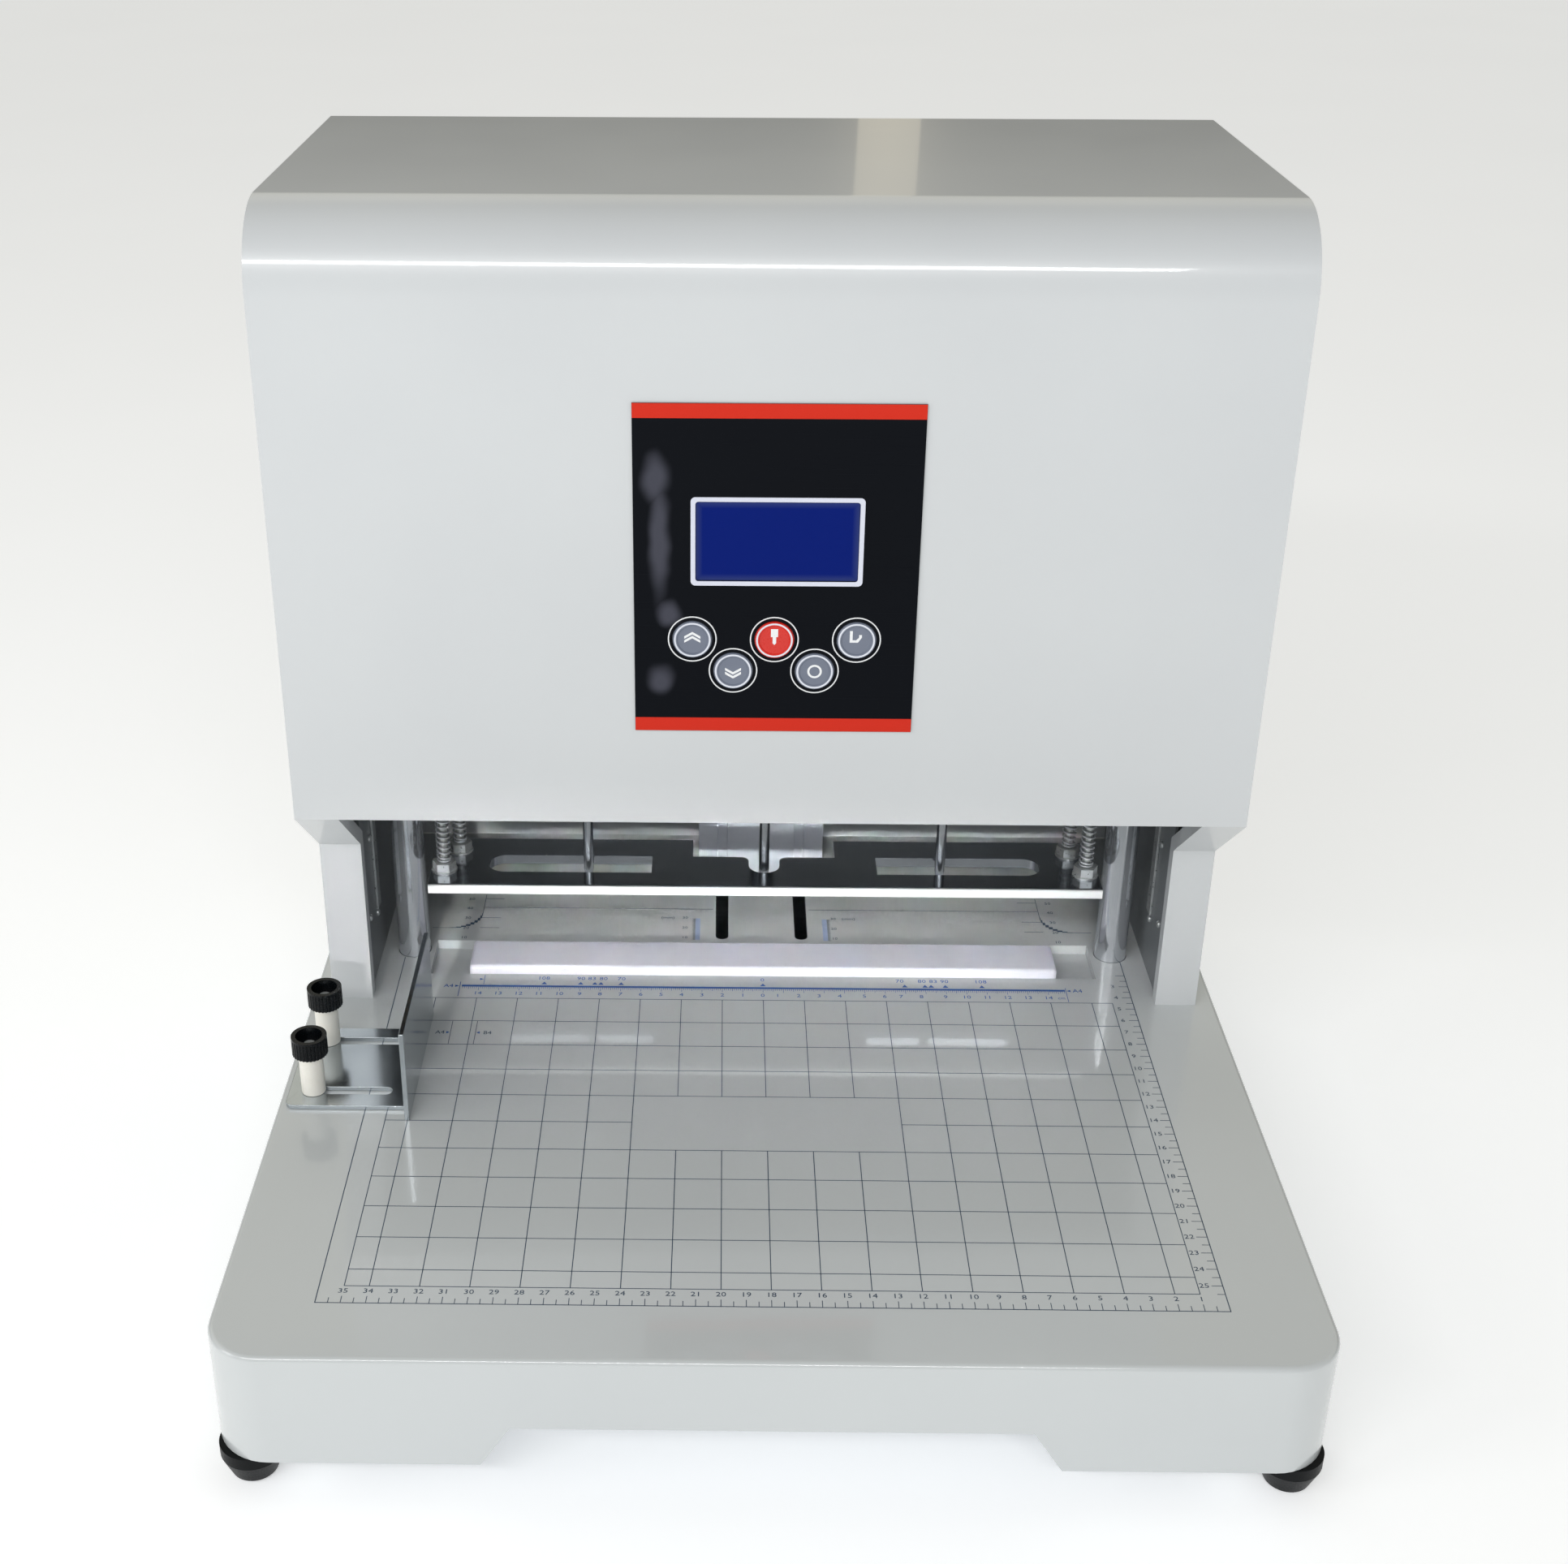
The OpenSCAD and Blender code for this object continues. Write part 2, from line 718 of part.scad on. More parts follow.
module lead_screw() {
  color("#a7abaf") translate([0, screw_y, 0]) {
    translate([0, 0, car_z - travel - 8]) cylinder(d = screw_d, h = top_z - 11 - car_z + travel + 8);
    translate([0, 0, top_z - 12]) cylinder(r = shaft_r, h = top_t + 12 + 12);
  }
}

module lift_coupling() {
  z = top_z + top_t + 3;
  color("#b5202a") translate([0, screw_y, z]) difference() {
    cylinder(r = coupling_r, h = coupling_h);
    translate([0, 0, -1]) cylinder(r = shaft_r, h = coupling_h/2 + 1);
    translate([0, 0, coupling_h/2 - 3]) tube(coupling_r + 1, coupling_r - 1.5, 1.2);
    translate([0, 0, coupling_h/2 + 2]) tube(coupling_r + 1, coupling_r - 1.5, 1.2);
  }
  color("#b5202a") translate([0, screw_y, z + coupling_h - 1]) cylinder(r = 3.2, h = 10);
}

// ---- carriage ----

module carriage_plate() {
  color("#9da2a6") difference() {
    translate([-car_x, drill_y - car_front, car_z])
      cube([2*car_x, screw_y - drill_y + car_deep, carriage_t]);
    for (s = [-1, 1]) {
      translate([s*pillar_x, pillar_y, car_z - 1]) cylinder(r = bush_r, h = carriage_t + 2);
      for (p = bolt_spots) translate([s*p[0], p[1], car_z - 1])
        cylinder(r = bolt_d/2 + 1.5, h = carriage_t + 2);
    }
    for (s = [0, 180]) translate([0, drill_y, car_z - 1]) rotate([0, 0, s])
      slot_x(pitch_min - 2, pitch_max + 2, shaft_r + 2, carriage_t + 2);
    translate([0, drill_y, car_z - 1]) cylinder(r = shaft_r + 2, h = carriage_t + 2);
    translate([0, screw_y, car_z - 1]) cylinder(r = screw_d/2 + 5, h = carriage_t + 2);
  }
}

module carriage_bushes() {
  color("#b08d3f") for (s = [-1, 1]) translate([s*pillar_x, pillar_y, car_z - 10])
    difference() {
      tube(bush_r, pillar_d/2 + fit, carriage_t + 20);
      for (z = [3, carriage_t + 16]) translate([0, 0, z]) tube(bush_r + 1, bush_r - 1, 1.2);
    }
}

module bolt_guides() {
  color("#b08d3f") for (s = [-1, 1], p = bolt_spots) translate([s*p[0], p[1], 0]) difference() {
    union() {
      translate([0, 0, spring_top]) cylinder(r = 5, h = guide_drop);
      translate([0, 0, spring_top]) cylinder(r = bolt_d/2 + 1.5, h = guide_drop + carriage_t);
    }
    translate([0, 0, spring_top - 1]) cylinder(r = bolt_d/2 + fit, h = guide_drop + carriage_t + 2);
  }
}

module lift_nut() {
  color("#b08d3f") translate([0, screw_y, car_z - 6]) difference() {
    union() {
      cylinder(r = screw_d/2 + 5, h = carriage_t + 6);
      translate([0, 0, carriage_t + 6]) cylinder(r = screw_d/2 + 9, h = 6);
    }
    translate([0, 0, -1]) cylinder(r = screw_d/2 + fit, h = carriage_t + 20);
  }
}

rail_w = 7;
rail_h = block_foot + 3.2;
rail_x = pitch_max + block_w/2 + 2;

module slide_rails() {
  color("#777b7f") for (turn = [0, 180]) translate([0, drill_y, 0]) rotate([0, 0, turn])
    across(-rail_x, rail_x) polygon([[block_d/2 + slide, car_top],
      [block_d/2 + slide + rail_w, car_top], [block_d/2 + slide + rail_w, car_top + rail_h],
      [block_d/2 - 3.5, car_top + rail_h], [block_d/2 - 3.5, car_top + block_foot + 2*slide],
      [block_d/2 + slide, car_top + block_foot + 2*slide]]);
}

module drill_block(x) {
  color("#aab0b5") translate([x, drill_y, car_top + slide]) difference() {
    union() {
      translate([-block_w/2, -block_d/2, 0]) cube([block_w, block_d, block_foot]);
      translate([-block_w/2, -block_d/2 + 4, 0]) cube([block_w, block_d - 8, block_h]);
    }
    translate([0, 0, -1]) cylinder(r = shaft_r + fit, h = block_h + 2);
    // seats of two bearings
    translate([0, 0, block_h - 4]) cylinder(r = 9, h = 5);
  }
}

module drill_motor(x) {
  color("#3b3f44") translate([x, drill_y, motor_z]) difference() {
    union() {
      cylinder(d = motor_d, h = motor_h);
      translate([0, 0, -3.8]) cylinder(r = 8.8, h = 5);
      translate([0, 0, motor_h]) cylinder(d = motor_d*0.4, h = 4);
      for (s = [-1, 1]) translate([s*motor_d*0.32 - 1.5, -3, motor_h - 1]) cube([3, 6, 7]);
    }
    translate([0, 0, -4]) cylinder(r = shaft_r + fit, h = 16);
    for (z = [5, motor_h - 8]) translate([0, 0, z]) tube(motor_d/2 + 1, motor_d/2 - 0.8, 1.5);
  }
}

// Spindle: a shaft into the motor and a chuck with a tapered nose
module spindle(x) {
  color("#7d8288") translate([x, drill_y, chuck_z]) difference() {
    union() {
      cylinder(r1 = chuck_r - 3, r2 = chuck_r, h = 6);
      translate([0, 0, 6]) cylinder(r = chuck_r, h = chuck_h - 6);
      translate([0, 0, chuck_h - 1]) cylinder(r = shaft_r, h = motor_z - chuck_z - chuck_h + 9);
    }
    translate([0, 0, -1]) cylinder(d = bit_d, h = 15);
    translate([0, -20, 12]) rotate([-90, 0, 0]) cylinder(r = 2, h = 16);
    for (a = [0, 120, 240]) rotate([0, 0, a]) translate([chuck_r + 1.2, 0, 8])
      cylinder(r = 2.4, h = chuck_h);
  }
}

// Hollow bit with a sharpened lip
module hollow_bit(x) {
  r = bit_d/2;
  color("#d5d8dc") translate([x, drill_y, tip_z]) difference() {
    union() {
      cylinder(r1 = r - 0.55, r2 = r, h = 3);
      translate([0, 0, 3]) cylinder(r = r, h = chuck_z - tip_z + 10);
    }
    translate([0, 0, -1]) cylinder(r = r - 0.8, h = chuck_z - tip_z + 8);
  }
}

module center_block() { drill_block(0); }

module left_block() { drill_block(-hole_pitch); }

module right_block() { drill_block(hole_pitch); }

module center_motor() { drill_motor(0); }

module left_motor() { drill_motor(-hole_pitch); }

module right_motor() { drill_motor(hole_pitch); }

module center_spindle() { spindle(0); }

module left_spindle() { spindle(-hole_pitch); }

module right_spindle() { spindle(hole_pitch); }

module center_bit() { hollow_bit(0); }

module left_bit() { hollow_bit(-hole_pitch); }

module right_bit() { hollow_bit(hole_pitch); }

// ---- press plate ----

// Outline of the plate from above, as the real one is cut
module plate_outline() {
  back = plate_d - plate_lead;
  r = 4;
  difference() {
    translate([-plate_x, -plate_lead]) square([2*plate_x, plate_d]);
    translate([-notch_w/2, back - notch_d]) square([notch_w, notch_d + 1]);
    // middle cut-out with a round end and two round shoulders
    circle(d = mid_w);
    translate([-mid_w/2, 0]) square([mid_w, plate_d]);
    for (s = [-1, 1]) difference() {
      translate([s*(mid_w/2 + r/2) - r/2, back - notch_d - r]) square([r, r + 1]);
      translate([s*(mid_w/2 + r), back - notch_d - r]) circle(r);
    }
    // long slots: round outside, square inside
    for (s = [-1, 1]) {
      translate([s*(slot_out - slot_w/2), 0]) circle(d = slot_w);
      translate([s*(slot_in + slot_out - slot_w/2)/2 - (slot_out - slot_w/2 - slot_in)/2,
        -slot_w/2]) square([slot_out - slot_w/2 - slot_in, slot_w]);
    }
  }
}

module press_plate() {
  color("#aab0b6") difference() {
    translate([0, drill_y, plate_low]) linear_extrude(plate_t) plate_outline();
    // bevel of the front edge
    translate([0, drill_y - plate_lead, plate_top]) rotate([45, 0, 0])
      cube([3*plate_x, 1.6, 1.6], center = true);
    for (s = [-1, 1], p = bolt_spots) translate([s*p[0], p[1], plate_low - 1])
      cylinder(r = bolt_d/2 + fit, h = plate_t + 2);
  }
}

module plate_bolts() {
  color("#c3c7cb") for (s = [-1, 1], p = bolt_spots) translate([s*p[0], p[1], 0]) {
    translate([0, 0, plate_low + 1])
      cylinder(d = bolt_d, h = car_top - plate_low + 4.5);
    translate([0, 0, plate_top]) cylinder(d = washer_d, h = washer_t);
    translate([0, 0, plate_top + washer_t]) cylinder(d = nut_flats/cos(30), h = nut_h, $fn = 6);
    // lock nut over the carriage
    translate([0, 0, car_top + seat]) cylinder(d = 7/cos(30), h = 4, $fn = 6);
  }
}

// Points along one spring: straight ends, level curls between them
coil_r = (spring_od - wire_d)/2;
coil_steps = 8*curls;
coil_rise = (spring_len - 2*wire_d)/coil_steps;
coil_path = concat([[coil_r, 0, 0.05]],
  [for (i = [0:coil_steps]) [coil_r*cos(45*i), coil_r*sin(45*i), wire_d + coil_rise*i]],
  [[coil_r, 0, spring_len - 0.05]]);

function unit(v) = v/norm(v);

// Ring of six points round point i of path p
function ring(p, i) =
  let (last = len(p) - 1,
    along = unit(p[min(i + 1, last)] - p[max(i - 1, 0)]),
    out = [p[i][0], p[i][1], 0],
    side = unit(out - (out*along)*along),
    other = cross(along, side))
  [for (k = [0:5]) p[i] + wire_d/2*(cos(60*k)*side + sin(60*k)*other)];

// Least gap of the wire to itself, between points half a curl or more apart
coil_gap = min([for (i = [0:len(coil_path) - 5], j = [i + 4:min(i + 10, len(coil_path) - 1)])
  norm(coil_path[i] - coil_path[j])]) - wire_d;
echo(str("least gap of a spring to itself: ", coil_gap, " mm"));

module spring() {
  n = len(coil_path);
  points = [for (i = [0:n - 1]) each ring(coil_path, i)];
  sides = [for (i = [0:n - 2], k = [0:5]) each
    let (a = 6*i + k, b = 6*i + (k + 1)%6)
    [[a, a + 6, b + 6], [a, b + 6, b]]];
  caps = [for (k = [1:4]) each [[0, k, k + 1], [6*n - 6, 6*n - 6 + k + 1, 6*n - 6 + k]]];
  polyhedron(points, concat(sides, caps), convexity = 10);
}

module press_springs() {
  color("#cfd3d7") for (s = [-1, 1], p = bolt_spots) translate([s*p[0], p[1], spring_z]) spring();
}

// ---- electrics ----

inlet_x = 135;
inlet_z = table_z + 44;
pin_r = 1.2;

module power_inlet() {
  color("#1b1d1f") translate([-inlet_x, back_y, inlet_z]) rotate([-90, 0, 0]) difference() {
    union() {
      translate([-31, -14, 0]) cube([62, 28, 2]);
      translate([-27, -12, -26]) cube([54, 24, 27]);
    }
    // socket with room for a plug, and the rocker's well
    translate([-24, -8.2, -18]) cube([25, 16.4, 25]);
    translate([6, -7, -12]) cube([16, 14, 20]);
    translate([5, 0, -3]) rotate([0, 90, 0]) cylinder(r = pin_r + fit, h = 18);
  }
  color("#c9a94b") for (p = [[-18.5, 2], [-4.5, 2], [-11.5, -2.5]])
    translate([-inlet_x + p[0], back_y - 18.5, inlet_z + p[1]]) cube([2, 12.5, 4], center = false);
}

// Rocker that tips on a pin across its well
module power_rocker() {
  color("#8c1f1c") {
    across(-inlet_x + 6 + seat, -inlet_x + 22 - seat)
      translate([back_y - 3, inlet_z]) rotate([0, 0, -10])
        polygon([[4, 6.3], [-5.4, 5], [-5.4, -5], [4, -6.3], [3, 0]]);
    across(-inlet_x + 5 + slide, -inlet_x + 23 - slide) translate([back_y - 3, inlet_z])
      circle(pin_r);
  }
}

module power_supply() {
  color("#a9acae") translate([-pillar_x + pillar_d, pillar_y - 24, top_z + top_t]) difference() {
    cube([supply_w, supply_d, supply_h]);
    // vents in the lid and the step that bares the terminals
    for (k = [0:7]) translate([10 + k*12, 12, supply_h - sheet]) cube([5, supply_d - 24, 3]);
    translate([-1, -1, supply_h/2]) cube([12, supply_d + 2, supply_h]);
  }
}

module control_board() {
  color("#1f6b3a") on_card() {
    translate([0, 0, card_lift]) cube([card_w, card_d, card_t]);
    for (a = [5, card_w - 5], b = [5, card_d - 5]) translate([a, b, 0])
      cylinder(r = 3, h = card_lift);
  }
  // transformer, three capacitors, a chip and a finned cooler
  color("#2a2d30") on_card() translate([0, 0, card_lift + card_t]) {
    translate([8, 12, 0]) cube([32, 28, 24]);
    for (k = [0:2]) translate([54 + k*15, 16, 0]) cylinder(r = 6, h = 20);
    translate([50, 36, 0]) cube([24, 24, 3]);
    for (k = [0:5]) translate([84, 36 + k*5, 0]) cube([16, 2, 18]);
    translate([84, 36, 0]) cube([16, 27, 3]);
  }
}

// Puts children on the near left corner of the control board's place
module on_card() {
  translate([pillar_x - pillar_d - card_w, pillar_y - 22, top_z + top_t]) children();
}

// ---- control panel ----

module button_spots() {
  for (k = [-2:2]) on_front(button_x + k*button_step, button_z - (k%2 == 0 ? 0 : button_drop))
    children();
}

module control_panel() {
  color("#0d1117") difference() {
    on_front(panel_x, panel_z) translate([-panel_w/2, 0, 0]) cube([panel_w, panel_h, panel_t]);
    on_front(lcd_x, lcd_z) translate([-lcd_w/2, 0, -1]) cube([lcd_w, lcd_h, 4]);
    button_spots() translate([0, 0, -1]) cylinder(d = button_d + 2*seat, h = 4);
  }
}

module lcd_bezel() {
  w = lcd_w + 4;
  h = lcd_h + 4;
  color("#f4f4f2") on_front(lcd_x, lcd_z + lcd_h/2) translate([0, 0, panel_t]) difference() {
    rounded_block(w, h, 0.5, 2);
    translate([0, 0, -1]) rounded_block(lcd_w, lcd_h, 3, 1.2);
  }
}

module lcd_display() {
  color("#0b1d80") on_front(lcd_x, lcd_z + lcd_h/2) {
    translate([-lcd_w/2 + 0.1, -lcd_h/2 + 0.1, -3]) cube([lcd_w - 0.2, lcd_h - 0.2, panel_t + 2.5]);
    translate([-lcd_w/2 - 6, -lcd_h/2 - 5, -5.2]) cube([lcd_w + 12, lcd_h + 10, 3]);
  }
}

module panel_board() {
  color("#1f6b3a") {
    on_front(button_x, button_z) translate([-keys_w/2, -26, -8]) cube([keys_w, keys_h, 1.5]);
    for (x = [4 - keys_w/2, keys_w/2 - 4], z = [-22, keys_h - 30])
      on_front(button_x + x, button_z + z)
      translate([0, 0, -7]) cylinder(r = 2.5, h = 7 - sheet);
  }
  color("#2a2d30") button_spots() {
    translate([-3, -3, -6.6]) cube([6, 6, 1]);
    translate([0, 0, -5.7]) cylinder(r = 1.7, h = 5.7 - stem_deep - button_travel - slide);
  }
}

// A button: bright rim round a dished disc, held by a flange behind the panel
module button(k, tone) {
  r = button_d/2;
  color(tone) on_front(button_x + k*button_step, button_z - (k%2 == 0 ? 0 : button_drop))
    rotate_extrude() polygon([[0, panel_t + 0.5], [r - 2, panel_t + 0.5], [r - 1.7, panel_t + 0.9],
      [r - 0.4, panel_t + 0.9], [r, panel_t + 0.5], [r, -0.2], [r + 0.9, -0.2], [r + 0.9, -1.2],
      [3, -1.2], [3, -stem_deep], [0, -stem_deep]]);
}

module up_button() { button(-2, "#8b8f96"); }

module down_button() { button(-1, "#8b8f96"); }

module drill_button() { button(0, "#d9281c"); }

module select_button() { button(1, "#8b8f96"); }

module reset_button() { button(2, "#8b8f96"); }

base_housing();
bottom_cover();
feet();
case_screws();
bed_plate();
head_shell();
rear_cover();
left_inner_wall();
right_inner_wall();
wall_strips();
wall_screws();
left_pillar();
right_pillar();
pillar_nuts();
top_plate();
screw_bearing();
motor_standoffs();
lift_motor();
power_supply();
control_board();
control_panel();
lcd_bezel();
lcd_display();
panel_board();
guide_studs();
guide_bushes();
power_inlet();
power_rocker();
carriage_plate();
carriage_bushes();
bolt_guides();
lift_nut();
slide_rails();
center_block();
center_motor();
press_springs();
press_plate();
plate_bolts();
lead_screw();
lift_coupling();
left_block();
left_motor();
right_block();
right_motor();
left_spindle();
center_spindle();
right_spindle();
left_bit();
center_bit();
right_bit();
up_button();
down_button();
drill_button();
select_button();
reset_button();
cutting_stick();
back_stop();
side_guide();
front_cap();
rear_cap();
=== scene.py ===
# %% [markdown]
# # A desk paper drill, from its fixed frame to the finished picture
# The machine drills three holes at once through a stack of paper. The solids of every part are
# already made and fixed in place; this script gives them their finishes, rounds their folded
# edges, prints the ruler grid, winds the springs and lights the whole like a product photograph.
# It can be read from top to bottom: each step first says what the real thing is.

# %% Load the solids
import json
import math
import bmesh
import bpy
from mathutils import Euler, Matrix, Vector


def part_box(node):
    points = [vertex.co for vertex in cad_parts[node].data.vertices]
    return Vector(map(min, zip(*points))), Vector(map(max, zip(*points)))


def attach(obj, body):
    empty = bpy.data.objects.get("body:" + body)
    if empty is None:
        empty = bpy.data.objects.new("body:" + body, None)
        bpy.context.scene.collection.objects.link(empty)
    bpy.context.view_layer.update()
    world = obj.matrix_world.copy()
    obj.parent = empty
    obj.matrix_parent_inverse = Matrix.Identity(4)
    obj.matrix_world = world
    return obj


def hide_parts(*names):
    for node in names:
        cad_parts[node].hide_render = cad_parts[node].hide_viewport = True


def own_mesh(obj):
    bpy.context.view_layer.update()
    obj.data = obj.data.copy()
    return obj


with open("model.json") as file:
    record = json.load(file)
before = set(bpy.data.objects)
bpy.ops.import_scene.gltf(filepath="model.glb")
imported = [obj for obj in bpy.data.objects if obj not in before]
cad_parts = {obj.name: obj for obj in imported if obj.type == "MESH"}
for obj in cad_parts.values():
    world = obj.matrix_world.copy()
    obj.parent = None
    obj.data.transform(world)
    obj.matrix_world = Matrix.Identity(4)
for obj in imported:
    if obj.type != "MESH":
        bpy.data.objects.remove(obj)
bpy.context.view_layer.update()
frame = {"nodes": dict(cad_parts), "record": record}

MM = 0.001

# %% [markdown]
# ## Where things are
# A few heights and lines come back all through the script: the table top, the corners of the
# control panel, the line of the pillars. They are read from the boxes of the solids, so they
# follow when a size of the machine changes. The printed figures on the table are typed in mm.

# %% Read the main levels from the solids
TABLE_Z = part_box("base_housing")[1].z
PANEL_LOW, PANEL_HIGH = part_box("control_panel")
PILLAR_LOW, PILLAR_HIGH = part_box("right_pillar")
PILLAR_Y = (PILLAR_LOW.y + PILLAR_HIGH.y) / 2
print("table at", round(TABLE_Z / MM, 1), "mm, pillars on the line Y =", round(PILLAR_Y / MM, 1))


def on_table(x, y, lift=0.0):
    """A place on the table in mm, from the line of the pillars, as a point in metres."""
    return Vector((x * MM, PILLAR_Y + y * MM, TABLE_Z + lift * MM))


# %% [markdown]
# ## The camera
# The printed centimetre rulers on the table were used to work out where the photographer stood:
# about 0.8 m in front and 0.62 m up, looking down by 27 degrees. From so near, the head looks
# wider at the top than at the bottom, which gives the picture its look. The small lens shift
# stands for the cropping of the photograph.

# %% Place the camera
camera_data = bpy.data.cameras.new("camera")
camera_data.lens = 47.473
camera_data.sensor_width = 36.0
camera_data.sensor_fit = "HORIZONTAL"
camera_data.shift_x = 0.05346
camera_data.shift_y = -0.001754
camera_data.clip_start = 0.05
camera = bpy.data.objects.new("camera", camera_data)
camera.location = (-0.02201, -0.81401, 0.62174)
camera.rotation_euler = Euler([math.radians(a) for a in (63.085, -0.1468, 0.6869)], "XYZ")
bpy.context.scene.collection.objects.link(camera)
bpy.context.scene.camera = camera
MACHINE_MIDDLE = Vector((0, 0, 0.25))    # roughly
print("camera", round((camera.location - MACHINE_MIDDLE).length, 3), "m from the machine")

# %% [markdown]
# ## Tools for finishes
# Every finish below is a tree of shader nodes on one Principled BSDF. Four helpers keep the cells
# short: one turns an sRGB hex colour into the linear numbers that Blender mixes, one adds any node
# with its settings and its inputs, one starts a material and one links results to its shader. An
# input that is itself a socket is linked, anything else is typed in.

# %% Helpers for materials
def linear(code):
    """sRGB hex to the linear colour that the shader expects, with full alpha."""
    parts = [int(code[i:i + 2], 16) / 255 for i in (1, 3, 5)]
    return (*[p / 12.92 if p <= 0.04045 else ((p + 0.055) / 1.055) ** 2.4 for p in parts], 1.0)


def add(tree, kind, inputs=None, **settings):
    """Adds one node of any kind, sets it up and feeds its inputs."""
    node = tree.nodes.new(kind)
    for name, value in settings.items():
        setattr(node, name, value)
    for key, value in (inputs or {}).items():
        if isinstance(value, bpy.types.NodeSocket):
            tree.links.new(value, node.inputs[key])
        else:
            node.inputs[key].default_value = value
    return node


def start_finish(name, **shader_values):
    """A material with one Principled BSDF; names of its inputs are written with underscores."""
    material = bpy.data.materials.new(name)
    material.use_nodes = True
    tree = material.node_tree
    tree.nodes.clear()
    values = {key.replace("_", " "): value for key, value in shader_values.items()}
    shader = add(tree, "ShaderNodeBsdfPrincipled", values)
    add(tree, "ShaderNodeOutputMaterial", {"Surface": shader.outputs["BSDF"]})
    place = add(tree, "ShaderNodeTexCoord").outputs["Object"]
    return material, tree, shader, place


def feed(tree, shader, **links):
    """Links sockets to inputs of the shader."""
    for key, socket in links.items():
        tree.links.new(socket, shader.inputs[key.replace("_", " ")])


print("black is", linear("#000000")[:3], "and white is", linear("#FFFFFF")[:3])

# %% [markdown]
# ## Sprayed enamel of the head and base
# The housings are folded from 2 mm steel sheet, sprayed with a light grey stoving enamel and
# baked. Baked enamel is glossy but never flat: the drops leave "orange peel", soft waves two or
# three millimetres apart, which break up the edge of every reflection. A noise of that size goes
# to a bump of a few hundredths of a millimetre. A second, much larger noise changes the grey by a
# hair, and a third lets the gloss drift where hands have wiped the paint.

# %% Enamel in three greys and black
PEEL_MM, PEEL_HIGH_MM = 2.6, 0.03
CLOUDS_PER_M = 9.0    # one change of the grey in about 110 mm
WIPES_PER_M = 22.0    # one change of the gloss in about 45 mm


def sprayed_enamel(name, light, dark, roughness, coat):
    """Stoving enamel: a smooth non-metal with orange peel under a thin clear gloss."""
    material, tree, shader, place = start_finish(name, Coat_Weight=coat, Coat_Roughness=0.05)
    cloud = add(tree, "ShaderNodeTexNoise", {"Vector": place, "Scale": CLOUDS_PER_M,
                                             "Detail": 2.0})
    tone = add(tree, "ShaderNodeMix", {"Factor": cloud.outputs["Fac"], "A": linear(dark),
                                       "B": linear(light)}, data_type="RGBA")
    peel = add(tree, "ShaderNodeTexNoise", {"Vector": place, "Scale": 1000 / PEEL_MM,
                                            "Detail": 1.5, "Roughness": 0.4})
    bump = add(tree, "ShaderNodeBump", {"Height": peel.outputs["Fac"], "Strength": 0.4,
                                        "Distance": PEEL_HIGH_MM * MM})
    wipe = add(tree, "ShaderNodeTexNoise", {"Vector": place, "Scale": WIPES_PER_M, "Detail": 3.0})
    gloss = add(tree, "ShaderNodeMapRange", {"Value": wipe.outputs["Fac"], "From Min": 0.1,
                                             "From Max": 0.9, "To Min": roughness * 0.88,
                                             "To Max": roughness * 1.08})
    feed(tree, shader, Base_Color=tone.outputs["Result"], Normal=bump.outputs["Normal"],
         Roughness=gloss.outputs["Result"])
    return material


enamel_head = sprayed_enamel("stoving_enamel_light_grey", "#D3D6D7", "#CBCED0", 0.30, 0.5)
# the table gets a shade greyer copy of the head's enamel: painted shade on the flat table
enamel_table_shaded = sprayed_enamel("stoving_enamel_table_grey", "#CDD1D1", "#C6CACB", 0.22, 0.6)
# dark grey for the inner walls and top plate: painted shade of the hollow inside the head
enamel_shaded_dark = sprayed_enamel("stoving_enamel_dark_grey", "#7C8083", "#6C7073", 0.38, 0.1)
enamel_black = sprayed_enamel("stoving_enamel_black", "#1B1D20", "#141518", 0.35, 0.2)
print("enamels:", enamel_head.name, enamel_table_shaded.name, enamel_shaded_dark.name, enamel_black.name)

# %% [markdown]
# ## Bare and plated metals
# A metal has no colour of its own under its shine: the base colour is the colour of its mirror.
# What tells one metal part from another is how its surface was made. Turned, ground and rolled
# parts carry fine lines in one direction, so the noise is stretched a hundred times along that
# direction before it drives roughness and bump. Zinc plating adds a faint cloudy spangle.

# %% A metal with fine lines along one axis
def lined_metal(name, light, dark, roughness, lines, line_mm, spread=0.08, depth=0.004,
                cloud_mm=30.0):
    """A metal whose tool marks run along the axis with the small number in lines."""
    material, tree, shader, place = start_finish(name, Metallic=1.0)
    along = add(tree, "ShaderNodeMapping", {"Vector": place, "Scale": lines}).outputs["Vector"]
    marks = add(tree, "ShaderNodeTexNoise", {"Vector": along, "Scale": 1000 / line_mm,
                                             "Detail": 3.0, "Roughness": 0.65})
    cloud = add(tree, "ShaderNodeTexNoise", {"Vector": place, "Scale": 1000 / cloud_mm,
                                             "Detail": 3.0})
    tone = add(tree, "ShaderNodeMix", {"Factor": cloud.outputs["Fac"], "A": linear(dark),
                                       "B": linear(light)}, data_type="RGBA")
    both = add(tree, "ShaderNodeMath", {0: marks.outputs["Fac"], 1: cloud.outputs["Fac"]},
               operation="ADD")
    gloss = add(tree, "ShaderNodeMapRange", {"Value": both.outputs["Value"], "From Min": 0.7,
                                             "From Max": 1.3, "To Min": roughness,
                                             "To Max": roughness + spread})
    bump = add(tree, "ShaderNodeBump", {"Height": marks.outputs["Fac"], "Strength": 0.5,
                                        "Distance": depth * MM})
    feed(tree, shader, Base_Color=tone.outputs["Result"], Roughness=gloss.outputs["Result"],
         Normal=bump.outputs["Normal"])
    return material


